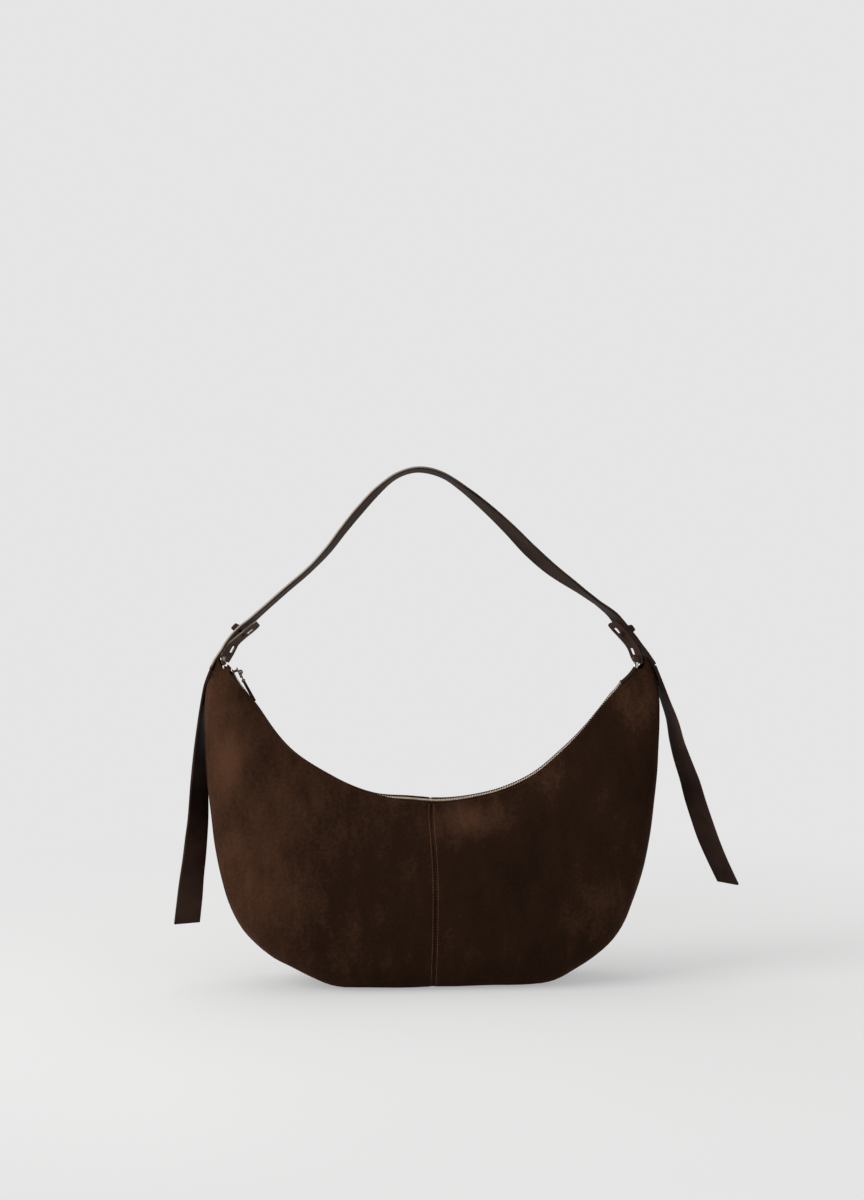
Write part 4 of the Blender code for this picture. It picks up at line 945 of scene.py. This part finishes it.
def maths(tree, kind, a, b=0.0, c=0.0):
    node = add_node(tree, "ShaderNodeMath", operation=kind)
    for entry, value in zip(node.inputs, (a, b, c)):
        if hasattr(value, "links"):
            tree.links.new(value, entry)
        else:
            entry.default_value = value
    return node.outputs["Value"]


def bumped(tree, shader, height, strength, distance):
    node = fill(add_node(tree, "ShaderNodeBump"), {"Strength": strength, "Distance": distance})
    tree.links.new(height, node.inputs["Height"])
    tree.links.new(node.outputs["Normal"], shader.inputs["Normal"])


def linear(r, g, b):
    """A colour given as display values from 0 to 255."""
    def one(v):
        v /= 255.0
        return v / 12.92 if v <= 0.04045 else ((v + 0.055) / 1.055) ** 2.4
    return (one(r), one(g), one(b))


print("a mid grey is", round(linear(128, 128, 128)[0], 3), "in the renderer's own scale")

# %% [markdown]
# Suede is leather with its flesh side raised into a short nap. It scatters light softly, goes pale where
# the nap stands up and dark where it lies down, and a hand leaves broad strokes in it. So the colour is one
# brown shifted by wide patches, strokes and a fine fleck, with sheen and no gloss. On top of that, the left
# side is painted paler as painted light from the key lamp, and listed patches add painted light and shade.

# %% Suede
def suede_finish(name, dark, mid, light):
    mat, tree, shader, where = finish(name)
    patches = clouds(tree, mapped(tree, where, (9.0, 4.0, 11.0), (0.0, 0.5, 0.0)), 1.0, 3.0, 0.5)
    strokes = clouds(tree, mapped(tree, where, (70.0, 20.0, 26.0), (0.0, 0.7, 0.0)), 1.0, 4.0, 0.6)
    fleck = clouds(tree, where, 1100.0, 2.0, 0.7)
    nap = clouds(tree, where, 330.0, 3.0, 0.6)
    tone = maths(tree, "MULTIPLY_ADD", strokes, 0.35, maths(tree, "MULTIPLY", patches, 0.55))
    tone = maths(tree, "MULTIPLY_ADD", nap, 0.25, tone)
    axis = add_node(tree, "ShaderNodeSeparateXYZ")
    tree.links.new(where, axis.inputs["Vector"])
    # Painted light: the left side, which faces the key lamp, is painted paler.
    wear_and_painted_light = fill(add_node(tree, "ShaderNodeMapRange", interpolation_type="SMOOTHSTEP"),
                {"From Min": -0.235, "From Max": 0.06, "To Min": 0.20, "To Max": 0.0})
    tree.links.new(axis.outputs["X"], wear_and_painted_light.inputs["Value"])
    tone = maths(tree, "ADD", tone, wear_and_painted_light.outputs["Result"])
    # The nap attribute adds the listed patches, partly stroked nap and partly painted light and shade.
    nap_and_painted_light = add_node(tree, "ShaderNodeAttribute", attribute_name="nap")
    tone = maths(tree, "ADD", tone, nap_and_painted_light.outputs["Fac"])
    colour = ramp(tree, tone, [(0.42, dark), (0.62, mid), (0.98, light)])
    colour = mixed(tree, maths(tree, "MULTIPLY", fleck, 0.16), colour, light)
    tree.links.new(colour, shader.inputs["Base Color"])
    fill(shader, {"Roughness": 0.95, "Specular IOR Level": 0.04, "Sheen Weight": 0.10,
                  "Sheen Roughness": 0.4, "Sheen Tint": linear(170, 110, 80) + (1.0,)})
    height = maths(tree, "MULTIPLY_ADD", nap, 0.6, maths(tree, "MULTIPLY", fleck, 0.4))
    bumped(tree, shader, height, 0.5, 0.0008)
    return mat


suede = suede_finish("brown suede", linear(17, 9, 5), linear(32, 19, 11), linear(80, 53, 38))
# Patches where a hand has stroked the nap up or down, as rows like those of the folds. Some are painted
# light and shade instead: the pale patch at the left edge, which faces the key lamp, is painted light, and
# the dark patches in the dent by the left tip and low on the bag, most towards the lower right, are painted
# shade.
NAP_AND_PAINTED_LIGHT = [(-0.189, 0.211, 0.012, 0.035, -5.0, 0.28), (0.038, 0.158, 0.042, 0.018, 0.0, 0.24),
           (-0.121, 0.174, 0.08, 0.07, 0.0, -0.03), (0.10, 0.10, 0.09, 0.06, 0.0, -0.08),
           (-0.172, 0.276, 0.014, 0.014, 0.0, -0.15), (0.193, 0.248, 0.02, 0.04, 0.0, 0.14),
           (0.175, 0.081, 0.03, 0.03, 0.0, 0.06), (-0.129, 0.224, 0.012, 0.002, -38.0, 0.15),
           (0.105, 0.200, 0.05, 0.022, 25.0, 0.16), (-0.13, 0.05, 0.05, 0.03, 0.0, -0.07)]
for (side, hand), made in halves.items():
    nap_and_painted_light = made.data.attributes.new("nap", "FLOAT", "POINT")
    for v in made.data.vertices:
        nap_and_painted_light.data[v.index].value = summed(NAP_AND_PAINTED_LIGHT, v.co.x, v.co.z, MIRROR[side])
print("stroked places:", len(NAP_AND_PAINTED_LIGHT))

# %% [markdown]
# The strap, tabs and toggles are smooth dark leather with a fine grain and a painted edge. The grain is a
# bump of small cells. A painted highlight, a pale colour on the edges that face up and forward on the left
# where the key lamp falls, is an attribute on the band's own mesh, as it follows it.

# %% Dark leather
def dark_leather_finish(name, base, wear_and_painted_light, rough):
    mat, tree, shader, where = finish(name)
    grain = fill(add_node(tree, "ShaderNodeTexVoronoi"), {"Scale": 1500.0})
    tree.links.new(where, grain.inputs["Vector"])
    wear = clouds(tree, where, 24.0, 3.0, 0.5)
    lit_edge_highlight = add_node(tree, "ShaderNodeAttribute", attribute_name="lit_edge_highlight")
    colour = ramp(tree, wear, [(0.35, base), (0.75, wear_and_painted_light)])
    # The pale colour mixed in by this attribute is a painted highlight.
    colour = mixed(tree, lit_edge_highlight.outputs["Fac"], colour, linear(176, 164, 150))
    tree.links.new(colour, shader.inputs["Base Color"])
    fill(shader, {"Specular IOR Level": 0.04})
    tree.links.new(maths(tree, "MULTIPLY_ADD", wear, 0.12, rough - 0.06), shader.inputs["Roughness"])
    bumped(tree, shader, grain.outputs["Distance"], 0.08, 0.0001)
    return mat


strap_leather = dark_leather_finish("dark strap leather", linear(34, 23, 18), linear(62, 45, 38), 0.6)
tab_leather = dark_leather_finish("brown tab leather", linear(52, 36, 29), linear(72, 52, 43), 0.55)
toggle_leather = dark_leather_finish("brown toggle leather", linear(44, 29, 26), linear(62, 42, 37), 0.5)
# Painted highlight: the pale colour goes on the edges that face up and forward, on the strap's left part
# and on the left tab, where the key lamp falls.
for made in [strap] + list(tabs.values()):
    lit_edge_highlight = made.data.attributes.new("lit_edge_highlight", "FLOAT", "POINT")
    for v in made.data.vertices:
        key_light_side = min(1.0, max(0.0, 0.4 - v.co.x / 0.1))
        lit_edge_highlight.data[v.index].value = key_light_side * (-0.97 < v.normal.y < -0.3 and v.normal.z > 0.0)
print("leathers:", [leather.name for leather in (strap_leather, tab_leather, toggle_leather)])

# %% [markdown]
# Lining, tape and thread are woven. Two sets of bands at right angles, multiplied, give the over and
# under of a plain weave at any count, and the same finish does for all of them.

# %% Cloth and thread
def cloth_finish(name, dark, light, count, rough=0.9):
    """A plain weave: two sets of threads, each the other's under and over."""
    mat, tree, shader, where = finish(name)
    height = None
    for turn in ((0.0, 0.0, 0.0), (0.0, math.radians(90.0), 0.0)):
        wave = fill(add_node(tree, "ShaderNodeTexWave"),
                    {"Scale": count, "Distortion": 0.6, "Detail Scale": 2.0})
        tree.links.new(mapped(tree, where, (1.0, 1.0, 1.0), turn), wave.inputs["Vector"])
        threads = wave.outputs["Fac"]
        height = threads if height is None else maths(tree, "MULTIPLY", height, threads)
    slub = clouds(tree, where, 90.0, 3.0)
    colour = ramp(tree, maths(tree, "MULTIPLY_ADD", slub, 0.6, maths(tree, "MULTIPLY", height, 0.5)),
                  [(0.2, dark), (0.8, light)])
    tree.links.new(colour, shader.inputs["Base Color"])
    fill(shader, {"Roughness": rough, "Specular IOR Level": 0.12})
    bumped(tree, shader, height, 0.3, 0.0002)
    return mat


lining_cloth = cloth_finish("lining cloth", linear(96, 84, 72), linear(128, 114, 98), 700.0)
tape_cloth = cloth_finish("zip tape cloth", linear(24, 17, 13), linear(44, 33, 27), 900.0)
thread = cloth_finish("tan thread", linear(92, 62, 44), linear(128, 92, 70), 2600.0, 0.8)
dark_thread = cloth_finish("brown thread", linear(60, 42, 32), linear(92, 68, 54), 2600.0, 0.8)
print("woven:", [woven.name for woven in (lining_cloth, tape_cloth, thread, dark_thread)])

# %% [markdown]
# The zip's metal is aged and the rings are polished. Both are metal with a fine stain that shifts
# the colour and the gloss together, as tarnish does.

# %% Metal
def metal_finish(name, dark, light, rough, scale=500.0):
    mat, tree, shader, where = finish(name)
    stain = clouds(tree, where, scale, 4.0, 0.65)
    tree.links.new(ramp(tree, stain, [(0.3, dark), (0.75, light)]), shader.inputs["Base Color"])
    fill(shader, {"Metallic": 1.0})
    tree.links.new(maths(tree, "MULTIPLY_ADD", stain, 0.25, rough - 0.12), shader.inputs["Roughness"])
    bumped(tree, shader, stain, 0.06, 0.0002)
    return mat


zip_metal = metal_finish("aged zip metal", linear(150, 132, 112), linear(226, 206, 182), 0.34)
pull_metal = metal_finish("dark pull metal", linear(62, 52, 44), linear(104, 92, 80), 0.4)
ring_metal = metal_finish("polished ring metal", linear(176, 174, 170), linear(214, 212, 208), 0.18, 260.0)
print("finishes:", len([m for m in bpy.data.materials if m.use_nodes]))

# %% [markdown]
# Each piece takes one finish.

# %% Dressing
seam_rows = [made for (side, hand, kind), made in stitches.items() if kind == "seam"]
hem_rows = [made for (side, hand, kind), made in stitches.items() if kind == "hem"]
for pieces, mat, slot in (
        ((*halves.values(), gusset_skin, *caps.values(), *loops.values()), suede, "suede"),
        ((*linings.values(), lining_floor, *pocket.values()), lining_cloth, "lining"),
        (seam_rows, thread, "suede"), (hem_rows, dark_thread, "suede"),
        (tapes.values(), tape_cloth, "zip_tape"), (teeth.values(), zip_metal, "zip_metal"),
        ((slider, puller), pull_metal, "zip_metal"),
        ((pull, strap, *tails.values()), strap_leather, "strap_leather"),
        (tabs.values(), tab_leather, "strap_leather"), (rings.values(), ring_metal, "ring_metal"),
        (toggles.values(), toggle_leather, "toggle")):
    for made in pieces:
        made.data.materials.clear()
        made.data.materials.append(mat)

# %% [markdown]
# The picture was lit in a studio, on a pale floor that runs into an even, pale background. The
# camera sees the floor's own light blended with that even tone, fully so away from the bag. That
# keeps the shadow and hides the floor's far edge. Only camera and mirror rays see the even tone.

# %% Floor
BACKGROUND = linear(229, 229, 229)


def seen_directly(tree):
    """One for rays from the camera, a mirror or a clear piece, and nothing for all others."""
    path = add_node(tree, "ShaderNodeLightPath").outputs
    return maths(tree, "MAXIMUM", path["Is Camera Ray"],
                 maths(tree, "MAXIMUM", path["Is Glossy Ray"], path["Is Transmission Ray"]))


bpy.ops.mesh.primitive_circle_add(vertices=96, radius=6.0, fill_type="NGON")
floor = bpy.context.object
floor.name = floor.data.name = "studio floor"
mat, tree, shader, where = finish("pale floor")
tone = ramp(tree, clouds(tree, where, 2.5, 2.0),
            [(0.0, linear(224, 223, 222)), (1.0, linear(230, 230, 229))])
tree.links.new(tone, shader.inputs["Base Color"])
fill(shader, {"Roughness": 0.9, "Specular IOR Level": 0.1})
away = add_node(tree, "ShaderNodeVectorMath", operation="LENGTH")
tree.links.new(where, away.inputs[0])
fade = fill(add_node(tree, "ShaderNodeMapRange", interpolation_type="SMOOTHSTEP"),
            {"From Min": 0.30, "From Max": 0.85, "To Min": 0.47, "To Max": 1.0})
tree.links.new(away.outputs["Value"], fade.inputs["Value"])
even = fill(add_node(tree, "ShaderNodeEmission"), {"Color": (*BACKGROUND, 1.0)})
blend = add_node(tree, "ShaderNodeMixShader")
tree.links.new(maths(tree, "MULTIPLY", fade.outputs["Result"], seen_directly(tree)), blend.inputs["Fac"])
tree.links.new(shader.outputs["BSDF"], blend.inputs[1])
tree.links.new(even.outputs["Emission"], blend.inputs[2])
tree.links.new(blend.outputs["Shader"], tree.nodes["Material Output"].inputs["Surface"])
floor.data.materials.append(mat)
print("floor tone:", [round(c, 3) for c in BACKGROUND])

# %% [markdown]
# Large soft lamps stand where a studio's would: the key on the left gives the bag its shading and
# its shadow, a weak fill on the right keeps that side readable, and one above lights the floor.

# %% Light
def soft_light(name, where, at, size, power):
    lamp = bpy.data.lights.new(name, "AREA")
    lamp.shape = "RECTANGLE"
    lamp.size, lamp.size_y = size
    lamp.energy = power
    obj = bpy.data.objects.new(name, lamp)
    bpy.context.scene.collection.objects.link(obj)
    obj.location = where
    obj.rotation_euler = (Vector(at) - Vector(where)).to_track_quat("-Z", "Y").to_euler()


soft_light("key", (-2.0, -0.9, 1.6), (0.0, 0.0, 0.2), (1.5, 1.5), 42.0)
soft_light("fill", (1.8, -1.5, 1.1), (0.0, 0.0, 0.2), (1.8, 1.8), 9.0)
soft_light("top", (-0.5, 0.4, 2.4), (0.0, 0.1, 0.0), (2.2, 1.8), 18.0)
world = bpy.data.worlds.new("studio")
bpy.context.scene.world = world
world.use_nodes = True
tree = world.node_tree
around = fill(tree.nodes["Background"], {"Color": (1.0, 1.0, 1.0, 1.0), "Strength": 0.46})
backdrop = fill(add_node(tree, "ShaderNodeBackground"), {"Color": (*BACKGROUND, 1.0)})
blend = add_node(tree, "ShaderNodeMixShader")
tree.links.new(seen_directly(tree), blend.inputs["Fac"])
tree.links.new(around.outputs["Background"], blend.inputs[1])
tree.links.new(backdrop.outputs["Background"], blend.inputs[2])
tree.links.new(blend.outputs["Shader"], tree.nodes["World Output"].inputs["Surface"])
bpy.context.scene.view_settings.view_transform = "Standard"
print("lamps:", len(bpy.data.lights))
